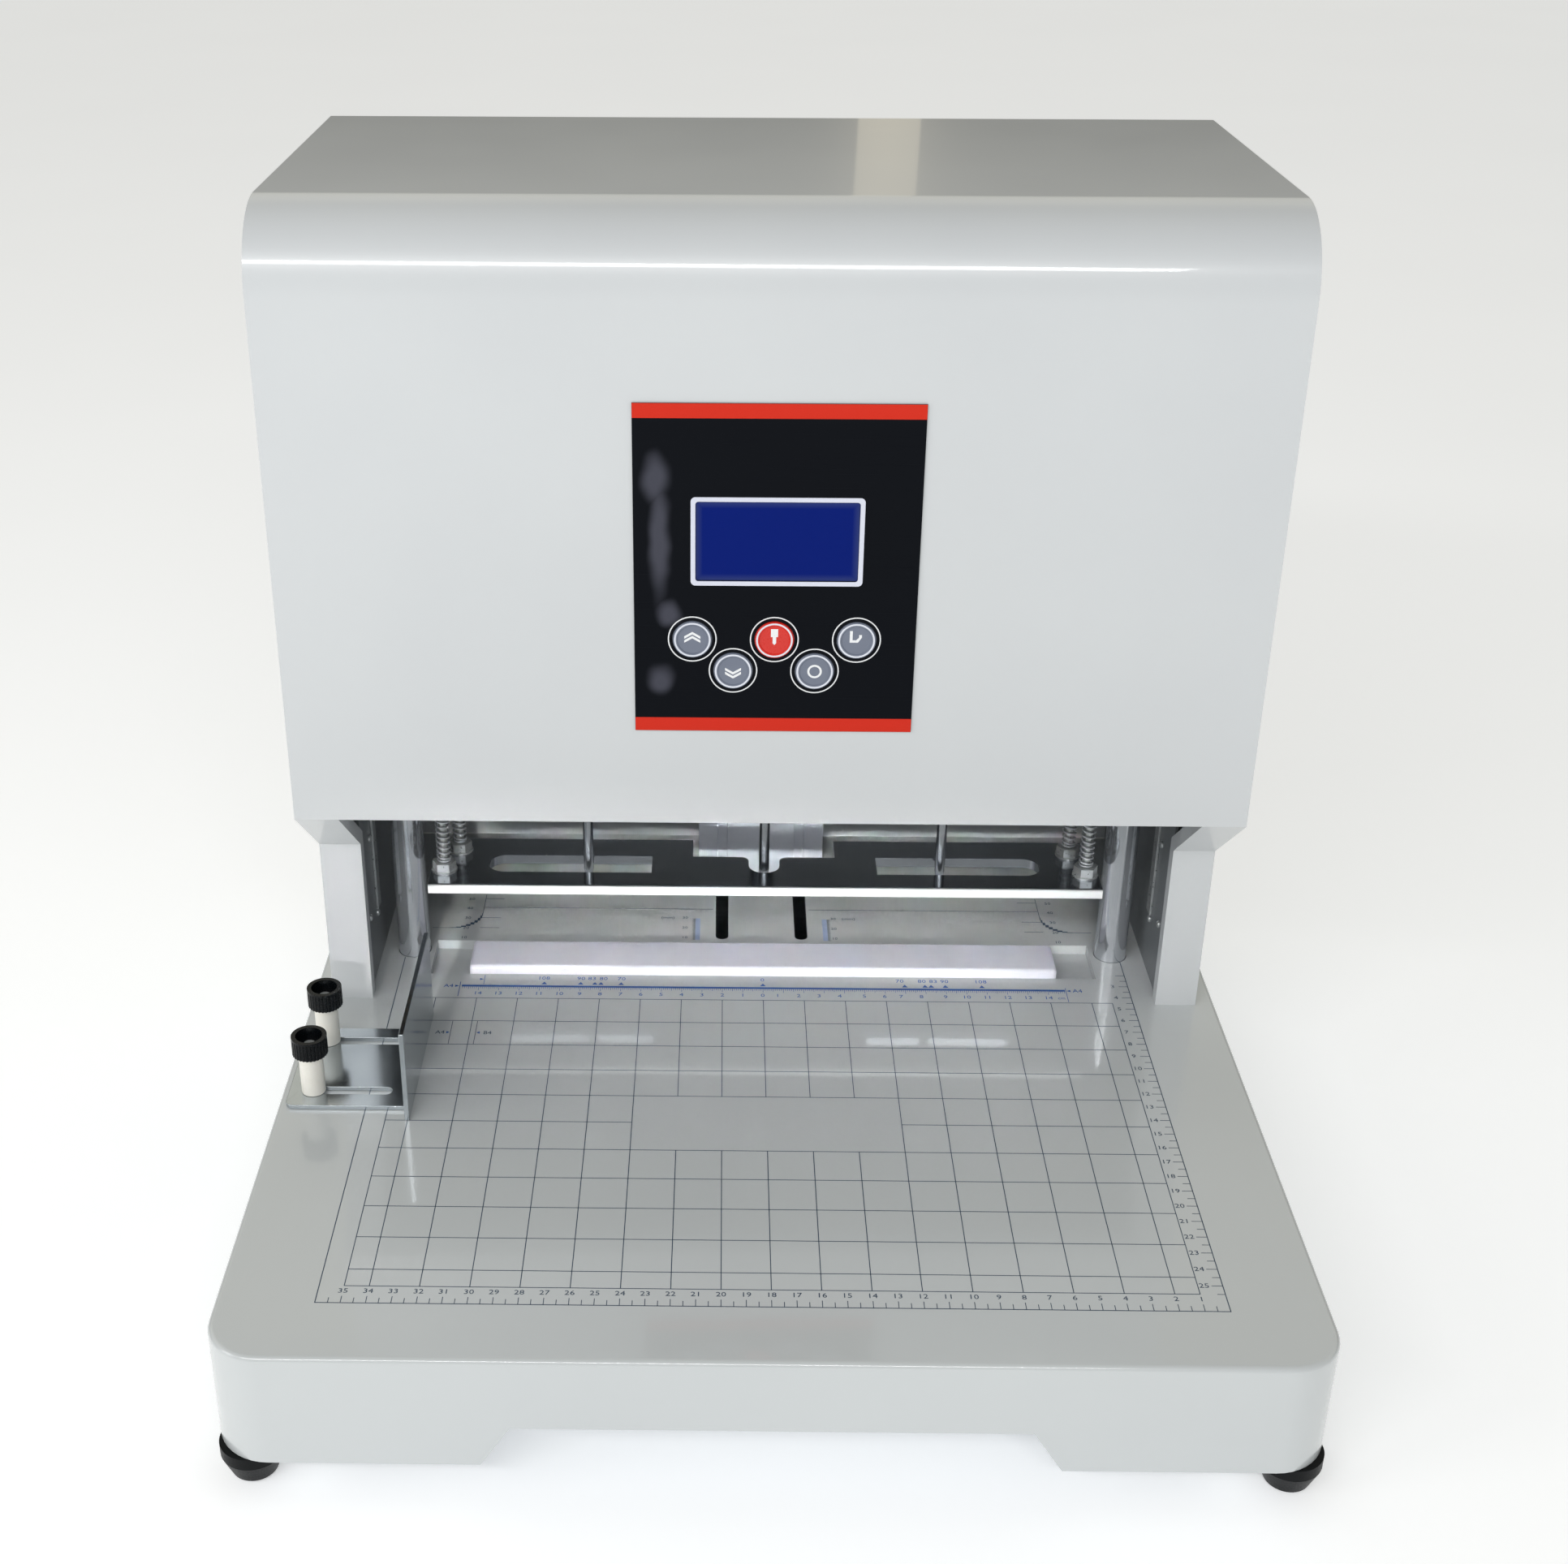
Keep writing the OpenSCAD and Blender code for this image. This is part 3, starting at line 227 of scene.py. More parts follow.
ALONG_X, ALONG_Z, ROUND_Z = (0.01, 1, 1), (1, 1, 0.01), (0.05, 0.05, 1)
chromed = lined_metal("hard_chrome_ground_rod", "#D8DBDF", "#BFC3C8", 0.07, ROUND_Z, 0.4, 0.06)
polished = lined_metal("polished_nickel_plate", "#A9ADB2", "#94989D", 0.09, ALONG_X, 0.5, 0.08)
zinc = lined_metal("zinc_plated_steel", "#D3D6D6", "#A9ADAE", 0.24, (1, 1, 1), 1.2, 0.16,
                   cloud_mm=4.0)
galvanised = lined_metal("zinc_plated_sheet_brushed", "#D2D8DC", "#A9B0B5", 0.13, ALONG_X, 0.35,
                         0.10, 0.006)
ground = lined_metal("ground_tool_steel", "#C6C9CC", "#A5A9AD", 0.17, ROUND_Z, 0.35, 0.10)
spring_steel = lined_metal("nickel_plated_spring_wire", "#DADDE0", "#B9BDC2", 0.18, (1, 1, 1),
                           0.8)
extruded = lined_metal("anodised_aluminium_extruded", "#E6E9F0", "#D6DAE4", 0.42, ALONG_Z, 0.4)
# shares of metal: full mirrors came out too dark under the head, so these scatter a part
SCATTERING = {extruded: 0.45, spring_steel: 0.6, zinc: 0.7, chromed: 0.8}
milled = lined_metal("milled_aluminium", "#C4C8CC", "#AEB3B8", 0.30, ALONG_X, 0.8, 0.12, 0.01)
red_anodised = lined_metal("anodised_aluminium_red", "#A3201F", "#8A1718", 0.30, ROUND_Z, 0.5)
turned_bronze = lined_metal("turned_bronze", "#B9914A", "#9C7636", 0.28, ROUND_Z, 0.5, 0.12)
for scattering, metal_share in SCATTERING.items():
    scattering.node_tree.nodes["Principled BSDF"].inputs["Metallic"].default_value = metal_share


FULL_HIGHLIGHT_SHARE, HIGHLIGHT_METAL_SHARE = 0.4, 0.15    # share of the edge band where the painted highlight is full, and the share of metal there


def matt_front_edge(material, node, depth_mm):
    """A front band of the plate painted near white and less metallic: a painted highlight line."""
    tree = material.node_tree
    shader = tree.nodes["Principled BSDF"]
    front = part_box(node)[0].y
    place = add(tree, "ShaderNodeTexCoord").outputs["Object"]
    depth = add(tree, "ShaderNodeSeparateXYZ", {"Vector": place}).outputs["Y"]
    edge = add(tree, "ShaderNodeMapRange", {"Value": depth, "From Min": front + depth_mm * MM,
                                            "From Max": front + depth_mm * FULL_HIGHLIGHT_SHARE * MM})
    metal = add(tree, "ShaderNodeMapRange", {"Value": edge.outputs["Result"], "To Min": 1.0,
                                             "To Max": HIGHLIGHT_METAL_SHARE})
    plate_tone = shader.inputs["Base Color"].links[0].from_socket
    # the band is painted near white: a painted highlight along the plate's front edge
    tone = add(tree, "ShaderNodeMix", {"Factor": edge.outputs["Result"], "A": plate_tone,
                                       "B": linear("#F7F9FA")}, data_type="RGBA")
    feed(tree, shader, Base_Color=tone.outputs["Result"], Metallic=metal.outputs["Result"])


matt_front_edge(polished, "press_plate", 1.0)
print("metals:", chromed.name, polished.name, zinc.name, galvanised.name, ground.name)

# %% [markdown]
# ## Plastics and rubber
# Moulded parts copy the grain of their mould. The caps are black ABS with a fine spark-eroded
# grain, the feet are matt rubber, the bushes and the cutting stick are nylon: milky, so some light
# goes in and comes out again beside where it entered. A little subsurface light gives that.

# %% Moulded materials
GLOW_RADIUS = (0.004, 0.0038, 0.0034)    # metres that red, green and blue light go inside
TINTS_PER_M = 60.0                       # one change of the tint in about 17 mm


def moulded(name, light, dark, roughness, grain_mm, grain_height, inside=0.0, shine=0.5):
    """A moulded non-metal: grain of the mould in the bump, light scattered inside if milky."""
    material, tree, shader, place = start_finish(name, Subsurface_Weight=inside,
                                                 Subsurface_Radius=GLOW_RADIUS,
                                                 Specular_IOR_Level=shine)
    cloud = add(tree, "ShaderNodeTexNoise", {"Vector": place, "Scale": TINTS_PER_M,
                                             "Detail": 3.0})
    tone = add(tree, "ShaderNodeMix", {"Factor": cloud.outputs["Fac"], "A": linear(dark),
                                       "B": linear(light)}, data_type="RGBA")
    grain = add(tree, "ShaderNodeTexNoise", {"Vector": place, "Scale": 1000 / grain_mm,
                                             "Detail": 2.0})
    bump = add(tree, "ShaderNodeBump", {"Height": grain.outputs["Fac"], "Strength": 0.5,
                                        "Distance": grain_height * MM})
    gloss = add(tree, "ShaderNodeMapRange", {"Value": grain.outputs["Fac"], "From Min": 0.3,
                                             "From Max": 0.7, "To Min": roughness * 0.85,
                                             "To Max": roughness * 1.15})
    feed(tree, shader, Base_Color=tone.outputs["Result"], Normal=bump.outputs["Normal"],
         Roughness=gloss.outputs["Result"])
    return material


rubber = moulded("vulcanised_rubber_black", "#0B0E11", "#06090B", 0.42, 0.7, 0.02, shine=0.15)
black_plastic = moulded("moulded_abs_black", "#0B0E11", "#06090B", 0.26, 0.5, 0.01,
                        shine=0.2)
nylon_white = moulded("extruded_nylon_white", "#E9E9F2", "#DFDFE9", 0.36, 0.9, 0.01, 0.25)
nylon_cream = moulded("turned_nylon_cream", "#F3F1EA", "#E8E5DA", 0.40, 0.6, 0.01, 0.25)
board_green = moulded("soldermask_on_glass_fibre", "#1F7040", "#175A33", 0.30, 1.0, 0.01)
key_silver = moulded("painted_key_silver", "#757C8C", "#6D7484", 0.34, 0.5, 0.004)
key_red = moulded("painted_key_red", "#DE2B1C", "#CE2216", 0.30, 0.5, 0.004)
rim_silver = moulded("hot_foil_rim_silver", "#E9ECF4", "#D5D9E4", 0.22, 0.6, 0.004)
FOIL_METAL = 0.15    # the foil's share of metal, set by its brightness in the photograph
rim_silver.node_tree.nodes["Principled BSDF"].inputs["Metallic"].default_value = FOIL_METAL
white_trim = moulded("moulded_bezel_white", "#DEE1EE", "#D4D7E5", 0.25, 0.8, 0.003)
print("plastics:", rubber.name, black_plastic.name, nylon_white.name, nylon_cream.name)

# %% [markdown]
# ## Printed inks
# The grid on the table is screen-printed in slate blue, the centre ruler in a brighter blue. Ink
# sits as a thin film with slightly broken coverage, so its colour is mixed towards the paint by a
# fine noise. The same recipe serves the white marks on the buttons and the red bars of the panel.

# %% Inks
SPOT_MM = 0.35


def printed_ink(name, ink, thin, roughness=0.35, shine=0.5):
    """Screen ink: thin spots let the ground show through."""
    material, tree, shader, place = start_finish(name, Roughness=roughness,
                                                 Specular_IOR_Level=shine)
    spots = add(tree, "ShaderNodeTexNoise", {"Vector": place, "Scale": 1000 / SPOT_MM,
                                             "Detail": 2.0})
    cover = add(tree, "ShaderNodeMapRange", {"Value": spots.outputs["Fac"], "From Min": 0.55,
                                             "From Max": 0.8})
    tone = add(tree, "ShaderNodeMix", {"Factor": cover.outputs["Result"], "A": linear(ink),
                                       "B": linear(thin)}, data_type="RGBA")
    feed(tree, shader, Base_Color=tone.outputs["Result"])
    return material


ink_grid = printed_ink("screen_ink_slate_blue", "#2A4058", "#50667E")
ink_blue = printed_ink("screen_ink_bright_blue", "#1E519C", "#4272B2")
ink_white = printed_ink("screen_ink_white", "#F2F3F4", "#D9DBDE")
ink_red = printed_ink("screen_ink_red", "#D4301F", "#C92A1A", 0.22, shine=0.1)
ink_pale = printed_ink("screen_ink_pale_blue", "#9FB1CF", "#AEBBD2")
print("inks:", ink_grid.name, ink_blue.name, ink_white.name, ink_red.name)

# %% [markdown]
# ## The keypad film and the display
# The keypad is one sheet of clear polycarbonate, printed black from behind, so its black lies
# under a perfectly clear gloss. It was pressed on by hand and has soft bubbles at its left edge
# and hair scratches. Each bubble is an ellipse whose outline a noise bends; a bump raises it, and
# its pale grey is a painted reflection. The display is a blue liquid crystal under glass: deep
# blue in the middle, paler and greyer at the rim.

# %% Film with bubbles
# centre across and down, half width and half height, as shares of the film
BUBBLES = [(0.083, 0.22, 0.060, 0.09), (0.092, 0.40, 0.045, 0.22),
           (0.125, 0.62, 0.050, 0.04), (0.088, 0.83, 0.055, 0.065)]
BEND_X, BEND_Z = 0.005, 0.012    # metres that the noise moves their outlines
BENDS_PER_M = 60.0               # one bend in about 17 mm
ANY_DEPTH = 1000.0               # so deep that the depth in the film plays no part
SCRATCHES_PER_M = 900.0          # scratches about 1 mm apart
SCRATCH_LONG, SCRATCH_LEAN = 0.02, 0.35
BUBBLE_HIGH_MM = 0.5


def keypad_film():
    """Film printed black from behind, with scratches and bubbles painted pale as a reflection."""
    material, tree, shader, place = start_finish("polycarbonate_film_black", Coat_Weight=0.04,
                                                 Coat_Roughness=0.04, Roughness=0.25,
                                                 Specular_IOR_Level=0.04)
    wave = add(tree, "ShaderNodeTexNoise", {"Vector": place, "Scale": BENDS_PER_M,
                                            "Detail": 1.0})
    bent = add(tree, "ShaderNodeVectorMath", {0: wave.outputs["Color"],
                                              1: (BEND_X, 0.0, BEND_Z), 2: place},
               operation="MULTIPLY_ADD").outputs["Vector"]
    wide, high = PANEL_HIGH.x - PANEL_LOW.x, PANEL_HIGH.z - PANEL_LOW.z
    nearest = None
    for across, down, half_w, half_h in BUBBLES:
        middle = (PANEL_LOW.x + across * wide + BEND_X / 2, 0.0,
                  PANEL_HIGH.z - down * high + BEND_Z / 2)
        size = (half_w * wide, ANY_DEPTH, half_h * high)
        inside = add(tree, "ShaderNodeMapping", {"Vector": bent, "Location": middle,
                                                 "Scale": size},
                     vector_type="TEXTURE").outputs["Vector"]
        far = add(tree, "ShaderNodeVectorMath", {0: inside}, operation="LENGTH").outputs["Value"]
        nearest = far if nearest is None else add(
            tree, "ShaderNodeMath", {0: nearest, 1: far}, operation="MINIMUM").outputs["Value"]
    raised_with_painted_sheen = add(tree, "ShaderNodeMapRange", {"Value": nearest, "From Min": 1.1,
                                              "From Max": 0.25}, interpolation_type="SMOOTHSTEP")
    # inside the bubbles the black is painted pale grey: a painted reflection on them
    tone = add(tree, "ShaderNodeMix", {"Factor": raised_with_painted_sheen.outputs["Result"], "A": linear("#0A0D13"),
                                       "B": linear("#474852")}, data_type="RGBA")
    hair = add(tree, "ShaderNodeMapping", {"Vector": place, "Scale": (SCRATCH_LONG, 1, 1),
                                           "Rotation": (0, SCRATCH_LEAN, 0)})
    scratch = add(tree, "ShaderNodeTexNoise", {"Vector": hair.outputs["Vector"],
                                               "Scale": SCRATCHES_PER_M, "Detail": 1.0})
    worn = add(tree, "ShaderNodeMapRange", {"Value": scratch.outputs["Fac"], "From Min": 0.66,
                                            "From Max": 0.75, "To Min": 0.22, "To Max": 0.5})
    bump = add(tree, "ShaderNodeBump", {"Height": raised_with_painted_sheen.outputs["Result"], "Strength": 0.25,
                                        "Distance": BUBBLE_HIGH_MM * MM})
    feed(tree, shader, Base_Color=tone.outputs["Result"], Roughness=worn.outputs["Result"],
         Coat_Normal=bump.outputs["Normal"])
    return material


# %% The display
WINDOW_EDGE = 2 * MM                  # from the bezel's outside to the window
RIM_IN, RIM_OUT = 3 * MM, 1 * MM      # where the rim starts and ends, from the window's edge
DUST_PER_M = 500.0                    # specks of dust about 2 mm apart


def display_glass():
    """A blue liquid crystal under dusty glass, with a paler rim."""
    material, tree, shader, place = start_finish("liquid_crystal_blue", Coat_Weight=0.03,
                                                 Coat_Roughness=0.03, Roughness=0.35,
                                                 Specular_IOR_Level=0.03)
    low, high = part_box("lcd_bezel")
    parts = add(tree, "ShaderNodeSeparateXYZ", {"Vector": place})
    rims = []
    for axis, a, b in (("X", low.x, high.x), ("Z", low.z, high.z)):
        middle, half = (a + b) / 2, (b - a) / 2 - WINDOW_EDGE
        off = add(tree, "ShaderNodeMath", {0: parts.outputs[axis], 1: middle},
                  operation="SUBTRACT")
        far = add(tree, "ShaderNodeMath", {0: off.outputs["Value"]}, operation="ABSOLUTE")
        rims.append(add(tree, "ShaderNodeMapRange", {"Value": far.outputs["Value"],
                                                     "From Min": half - RIM_IN,
                                                     "From Max": half + RIM_OUT}))
    rim = add(tree, "ShaderNodeMath", {0: rims[0].outputs["Result"],
                                       1: rims[1].outputs["Result"]}, operation="MAXIMUM")
    tone = add(tree, "ShaderNodeMix", {"Factor": rim.outputs["Value"], "A": linear("#071D70"),
                                       "B": linear("#3A4678")}, data_type="RGBA")
    dust = add(tree, "ShaderNodeTexNoise", {"Vector": place, "Scale": DUST_PER_M, "Detail": 2.0})
    dull = add(tree, "ShaderNodeMapRange", {"Value": dust.outputs["Fac"], "From Min": 0.5,
                                            "From Max": 0.8, "To Min": 0.3, "To Max": 0.5})
    feed(tree, shader, Base_Color=tone.outputs["Result"], Roughness=dull.outputs["Result"])
    return material


film = keypad_film()
display = display_glass()
print("keypad:", film.name, display.name)

# %% [markdown]
# ## Giving every solid its finish
# Each solid already knows the slot of its material in the machine's record. A table from slot to
# finish covers all sixty at once, and a few parts get a finish of their own.

# %% Assign the finishes
by_slot = {
    "grey_paint": enamel_head, "table_paint": enamel_table_shaded, "dark_paint": enamel_shaded_dark,
    "black_paint": enamel_black, "zinc_steel": zinc, "tool_steel": ground,
    "polished_steel": polished, "chrome_rod": chromed, "aluminium_part": milled,
    "red_aluminium": red_anodised, "bronze": turned_bronze, "black_rubber": rubber,
    "black_plastic": black_plastic, "white_nylon": nylon_white, "panel_film": film,
    "white_trim": white_trim, "display_blue": display, "board_green": board_green,
    "silver_key": key_silver, "red_key": key_red,
}
own_finish = {"base_housing": enamel_table_shaded, "guide_bushes": nylon_cream,
              "side_guide": galvanised, "back_stop": extruded, "bottom_cover": galvanised,
              "press_springs": spring_steel}
slot_of = {part["node"]: part["material_slot"] for part in frame["record"]["subparts"]}
for node, solid in frame["nodes"].items():
    finish = own_finish.get(node, by_slot[slot_of[node]])
    for place_in_list in range(len(solid.data.materials)):
        solid.data.materials[place_in_list] = finish
print("finishes on", len(frame["nodes"]), "solids,", len(by_slot), "slots")

# %% [markdown]
# ## Folded and broken edges
# No real edge is a knife edge. Sheet steel is folded round a radius about as large as its
# thickness, cut plates are deburred, moulded parts have rounded corners, and it is these narrow
# bands that catch the light and draw the outline of a machine. The solids have the true sizes but
# sharp edges, so each important one is copied, its loose triangles are merged into clean faces and
# a Bevel modifier rounds the copy inside the same box. The copy then stands for the solid.

# %% Helpers that finish a mesh piece
def keep_result(piece):
    """Turns the piece's live modifiers into its mesh and removes them."""
    bpy.context.view_layer.update()
    depsgraph = bpy.context.evaluated_depsgraph_get()
    result = bpy.data.meshes.new_from_object(piece.evaluated_get(depsgraph))
    result.name = piece.name
    piece.modifiers.clear()
    piece.data = result
    return piece


def new_piece(name, mesh, *finishes):
    """An object at the origin with its mesh in place."""
    piece = bpy.data.objects.new(name, mesh)
    bpy.context.scene.collection.objects.link(piece)
    if finishes:
        mesh.materials.clear()
        for finish in finishes:
            mesh.materials.append(finish)
    return piece


def made_mesh(name, work):
    """The mesh of what was built by hand."""
    mesh = bpy.data.meshes.new(name)
    work.to_mesh(mesh)
    work.free()
    return mesh


WELD = 0.002 * MM                  # corners nearer than this are one corner
FLAT = math.radians(0.5)           # faces that differ less than this are one face
SHARP = math.radians(28.0)         # edges flatter than this aren't rounded


def softened(node, body, radius_mm, segments):
    """A copy of a solid with rounded edges that stands for it."""
    work = bmesh.new()
    work.from_mesh(frame["nodes"][node].data)
    bmesh.ops.remove_doubles(work, verts=work.verts, dist=WELD)
    bmesh.ops.dissolve_limit(work, angle_limit=FLAT, verts=work.verts, edges=work.edges)
    for face in work.faces:
        face.smooth = True
        face.material_index = 0
    mesh = made_mesh(node + "_folded", work)
    for old in ("custom_normal", "sharp_edge", "sharp_face"):
        if old in mesh.attributes:
            mesh.attributes.remove(mesh.attributes[old])
    piece = new_piece(node + "_finished", mesh, frame["nodes"][node].data.materials[0])
    bevel = piece.modifiers.new("edges", "BEVEL")
    bevel.width = radius_mm * MM
    bevel.segments = segments
    bevel.limit_method = "ANGLE"
    bevel.angle_limit = SHARP
    bevel.use_clamp_overlap = True
    bevel.harden_normals = True
    bevel.miter_outer = "MITER_ARC"
    keep_result(piece)
    piece.data.validate()
    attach(piece, body)
    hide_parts(node)
    print(f"{piece.name}: {len(piece.data.polygons)} faces, edges rounded by {radius_mm} mm")


# %% Round the edges of the housings
for node, radius_mm, segments in (("head_shell", 1.3, 4), ("base_housing", 0.9, 3),
                                  ("rear_cover", 0.6, 2)):
    softened(node, "frame", radius_mm, segments)

# %% Round the edges of plates, stick, guide and stop
for node, body, radius_mm, segments in (
        ("press_plate", "press", 0.9, 3), ("cutting_stick", "cutting_stick", 1.9, 4),
        ("side_guide", "side_guide", 0.4, 2), ("back_stop", "back_stop", 0.5, 2),
        ("wall_strips", "frame", 0.25, 2), ("lcd_bezel", "frame", 0.2, 2)):
    softened(node, body, radius_mm, segments)

# %% [markdown]
# ## Winding the press springs
# Four compression springs push the press plate down. A real one is wound from round wire, and at
# each end the last turn lies flat on the turn before it, so that the spring stands straight. That
# is a rule, so Geometry Nodes winds it: a spiral of one unit of height gives turns and radius, and
# a new height is set for each point from how far along the wire it is: slow over the first turn,
# steady in between, slow again over the last.

# %% A tree that winds a spring
def new_tree(name, *sockets):
    """An empty geometry tree with named inputs; returns tree, input node and output node."""
    tree = bpy.data.node_groups.new(name, "GeometryNodeTree")
    tree.interface.new_socket("Geometry", in_out="INPUT", socket_type="NodeSocketGeometry")
    for label, kind in sockets:
        tree.interface.new_socket(label, in_out="INPUT", socket_type="NodeSocket" + kind)
    tree.interface.new_socket("Geometry", in_out="OUTPUT", socket_type="NodeSocketGeometry")
    return tree, tree.nodes.new("NodeGroupInput"), tree.nodes.new("NodeGroupOutput")


def grow(name, tree, finish, start_mesh, **inputs):
    """Runs a tree on a mesh and returns the plain result as a new piece."""
    piece = new_piece(name, start_mesh)
    modifier = piece.modifiers.new("grow", "NODES")
    modifier.node_group = tree
    sockets = {item.name: item.identifier for item in tree.interface.items_tree
               if item.in_out == "INPUT"}
    for label, value in inputs.items():
        modifier[sockets[label.replace("_", " ")]] = value
    modifier[sockets["Finish"]] = finish
    keep_result(piece)
    print(f"{name}: {len(piece.data.polygons)} faces grown by '{tree.name}'")
    return piece


CURVE_STEPS, WIRE_STEPS = 22, 8    # straight pieces in a turn, and sides of the wire
SECOND_TURN, LAST_RISE = 3.1, 2.1  # height of the second turn, rise of the last, in wire radii


def spring_tree():
    """Winds one spring on each point, with its first and last turn nearly flat."""
    tree, given, result = new_tree("wind a spring", ("Turns", "Float"), ("Coil radius", "Float"),
                                   ("Wire radius", "Float"), ("Length", "Float"),
                                   ("Finish", "Material"))
    inputs = given.outputs
    spiral = add(tree, "GeometryNodeCurveSpiral",
                 {"Resolution": CURVE_STEPS, "Rotations": inputs["Turns"],
                  "Start Radius": inputs["Coil radius"], "End Radius": inputs["Coil radius"],
                  "Height": 1.0})
    along = add(tree, "GeometryNodeSplineParameter").outputs["Factor"]
    one_turn = add(tree, "ShaderNodeMath", {0: 1.0, 1: inputs["Turns"]}, operation="DIVIDE")
    last_turn = add(tree, "ShaderNodeMath", {0: 1.0, 1: one_turn.outputs["Value"]},
                    operation="SUBTRACT")
    bottom = add(tree, "ShaderNodeMath", {0: inputs["Wire radius"], 1: SECOND_TURN},
                 operation="MULTIPLY")
    top = add(tree, "ShaderNodeMath", {0: inputs["Length"], 1: bottom.outputs["Value"]},
              operation="SUBTRACT")
    rise = [
        add(tree, "ShaderNodeMapRange", {"Value": along, "From Min": 0.0,
                                         "From Max": one_turn.outputs["Value"],
                                         "To Min": inputs["Wire radius"],
                                         "To Max": bottom.outputs["Value"]}),
        add(tree, "ShaderNodeMapRange", {"Value": along, "From Min": one_turn.outputs["Value"],
                                         "From Max": last_turn.outputs["Value"], "To Min": 0.0,
                                         "To Max": 1.0}),
        add(tree, "ShaderNodeMapRange", {"Value": along, "From Min": last_turn.outputs["Value"],
                                         "From Max": 1.0, "To Min": 0.0, "To Max": 1.0}),
    ]
    room = add(tree, "ShaderNodeMath", {0: top.outputs["Value"], 1: bottom.outputs["Value"]},
               operation="SUBTRACT")
    free = add(tree, "ShaderNodeMath", {0: rise[1].outputs["Result"], 1: room.outputs["Value"]},
               operation="MULTIPLY")
    end = add(tree, "ShaderNodeMath", {0: inputs["Wire radius"], 1: LAST_RISE},
              operation="MULTIPLY")
    flat = add(tree, "ShaderNodeMath", {0: rise[2].outputs["Result"], 1: end.outputs["Value"]},
               operation="MULTIPLY")
    some = add(tree, "ShaderNodeMath", {0: free.outputs["Value"], 1: flat.outputs["Value"]},
               operation="ADD")
    height = add(tree, "ShaderNodeMath", {0: some.outputs["Value"], 1: rise[0].outputs["Result"]},
                 operation="ADD")
    here = add(tree, "ShaderNodeSeparateXYZ",
               {"Vector": add(tree, "GeometryNodeInputPosition").outputs["Position"]})
    there = add(tree, "ShaderNodeCombineXYZ", {"X": here.outputs["X"], "Y": here.outputs["Y"],
                                               "Z": height.outputs["Value"]})
    wound = add(tree, "GeometryNodeSetPosition", {"Geometry": spiral.outputs["Curve"],
                                                  "Position": there.outputs["Vector"]})
    wire = add(tree, "GeometryNodeCurvePrimitiveCircle", {"Resolution": WIRE_STEPS,
                                                          "Radius": inputs["Wire radius"]})
    tube = add(tree, "GeometryNodeCurveToMesh", {"Curve": wound.outputs["Geometry"],
                                                 "Profile Curve": wire.outputs["Curve"],
                                                 "Fill Caps": True})
    stood = add(tree, "GeometryNodeInstanceOnPoints", {"Points": inputs["Geometry"],
                                                       "Instance": tube.outputs["Mesh"]})
    real = add(tree, "GeometryNodeRealizeInstances", {"Geometry": stood.outputs["Instances"]})
    shiny = add(tree, "GeometryNodeSetMaterial", {"Geometry": real.outputs["Geometry"],
                                                  "Material": inputs["Finish"]})
    tree.links.new(shiny.outputs["Geometry"], result.inputs["Geometry"])
    return tree


# %% Wind the four springs on their bolts
def points_mesh(name, places, **attributes):
    """A mesh of single points, with one vector attribute for each name given."""
    mesh = bpy.data.meshes.new(name)
    mesh.from_pydata([tuple(p) for p in places], [], [])
    for label, values in attributes.items():
        layer = mesh.attributes.new(label, "FLOAT_VECTOR", "POINT")
        layer.data.foreach_set("vector", [part for value in values for part in value])
    return mesh


def clusters(node):
    """The boxes of the loose parts of a solid."""
    work = bmesh.new()
    work.from_mesh(frame["nodes"][node].data)
    bmesh.ops.remove_doubles(work, verts=work.verts, dist=WELD)
    left, boxes = set(work.verts), []
    while left:
        seed = [left.pop()]
        found = list(seed)
        while seed:
            for edge in seed.pop().link_edges:
                for vert in edge.verts:
                    if vert in left:
                        left.discard(vert)
                        seed.append(vert)
                        found.append(vert)
        low = Vector([min(v.co[i] for v in found) for i in range(3)])
        high = Vector([max(v.co[i] for v in found) for i in range(3)])
        boxes.append((low, high))
    work.free()
    return boxes


spring_boxes = clusters("press_springs")
feet_of_springs = [((low.x + high.x) / 2, (low.y + high.y) / 2, low.z)
                   for low, high in spring_boxes]
spring_low, spring_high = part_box("press_springs")
WIRE = 0.5 * MM
coil = (spring_boxes[0][1].y - spring_boxes[0][0].y) / 2 - WIRE
springs = grow("wound_springs", spring_tree(), spring_steel,
               points_mesh("spring_feet", feet_of_springs), Turns=23.0, Coil_radius=coil,
               Wire_radius=WIRE, Length=spring_high.z - spring_low.z)
springs.data.shade_smooth()
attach(springs, "carriage")
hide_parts("press_springs")
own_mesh(springs)
print("springs", round((spring_high.z - spring_low.z) / MM, 1), "mm long, coil", coil / MM)

# %% [markdown]
# ## The ruled table
# A printed grid shows the user how the sheets lie: a frame with centimetre rulers at the front and
# at the right, squares of 20 mm inside, and a fine millimetre ruler under the cutting stick. Each
# stroke is a tiny ink pad. A stroke is described by its middle, its width and its length; Geometry
# Nodes puts one thin block on every point and stretches it by the size stored there. Ink is far
# thinner than the 0.05 mm used here, but that is already too thin to see from the side.

# %% A tree that prints strokes
INK_MM = 0.05


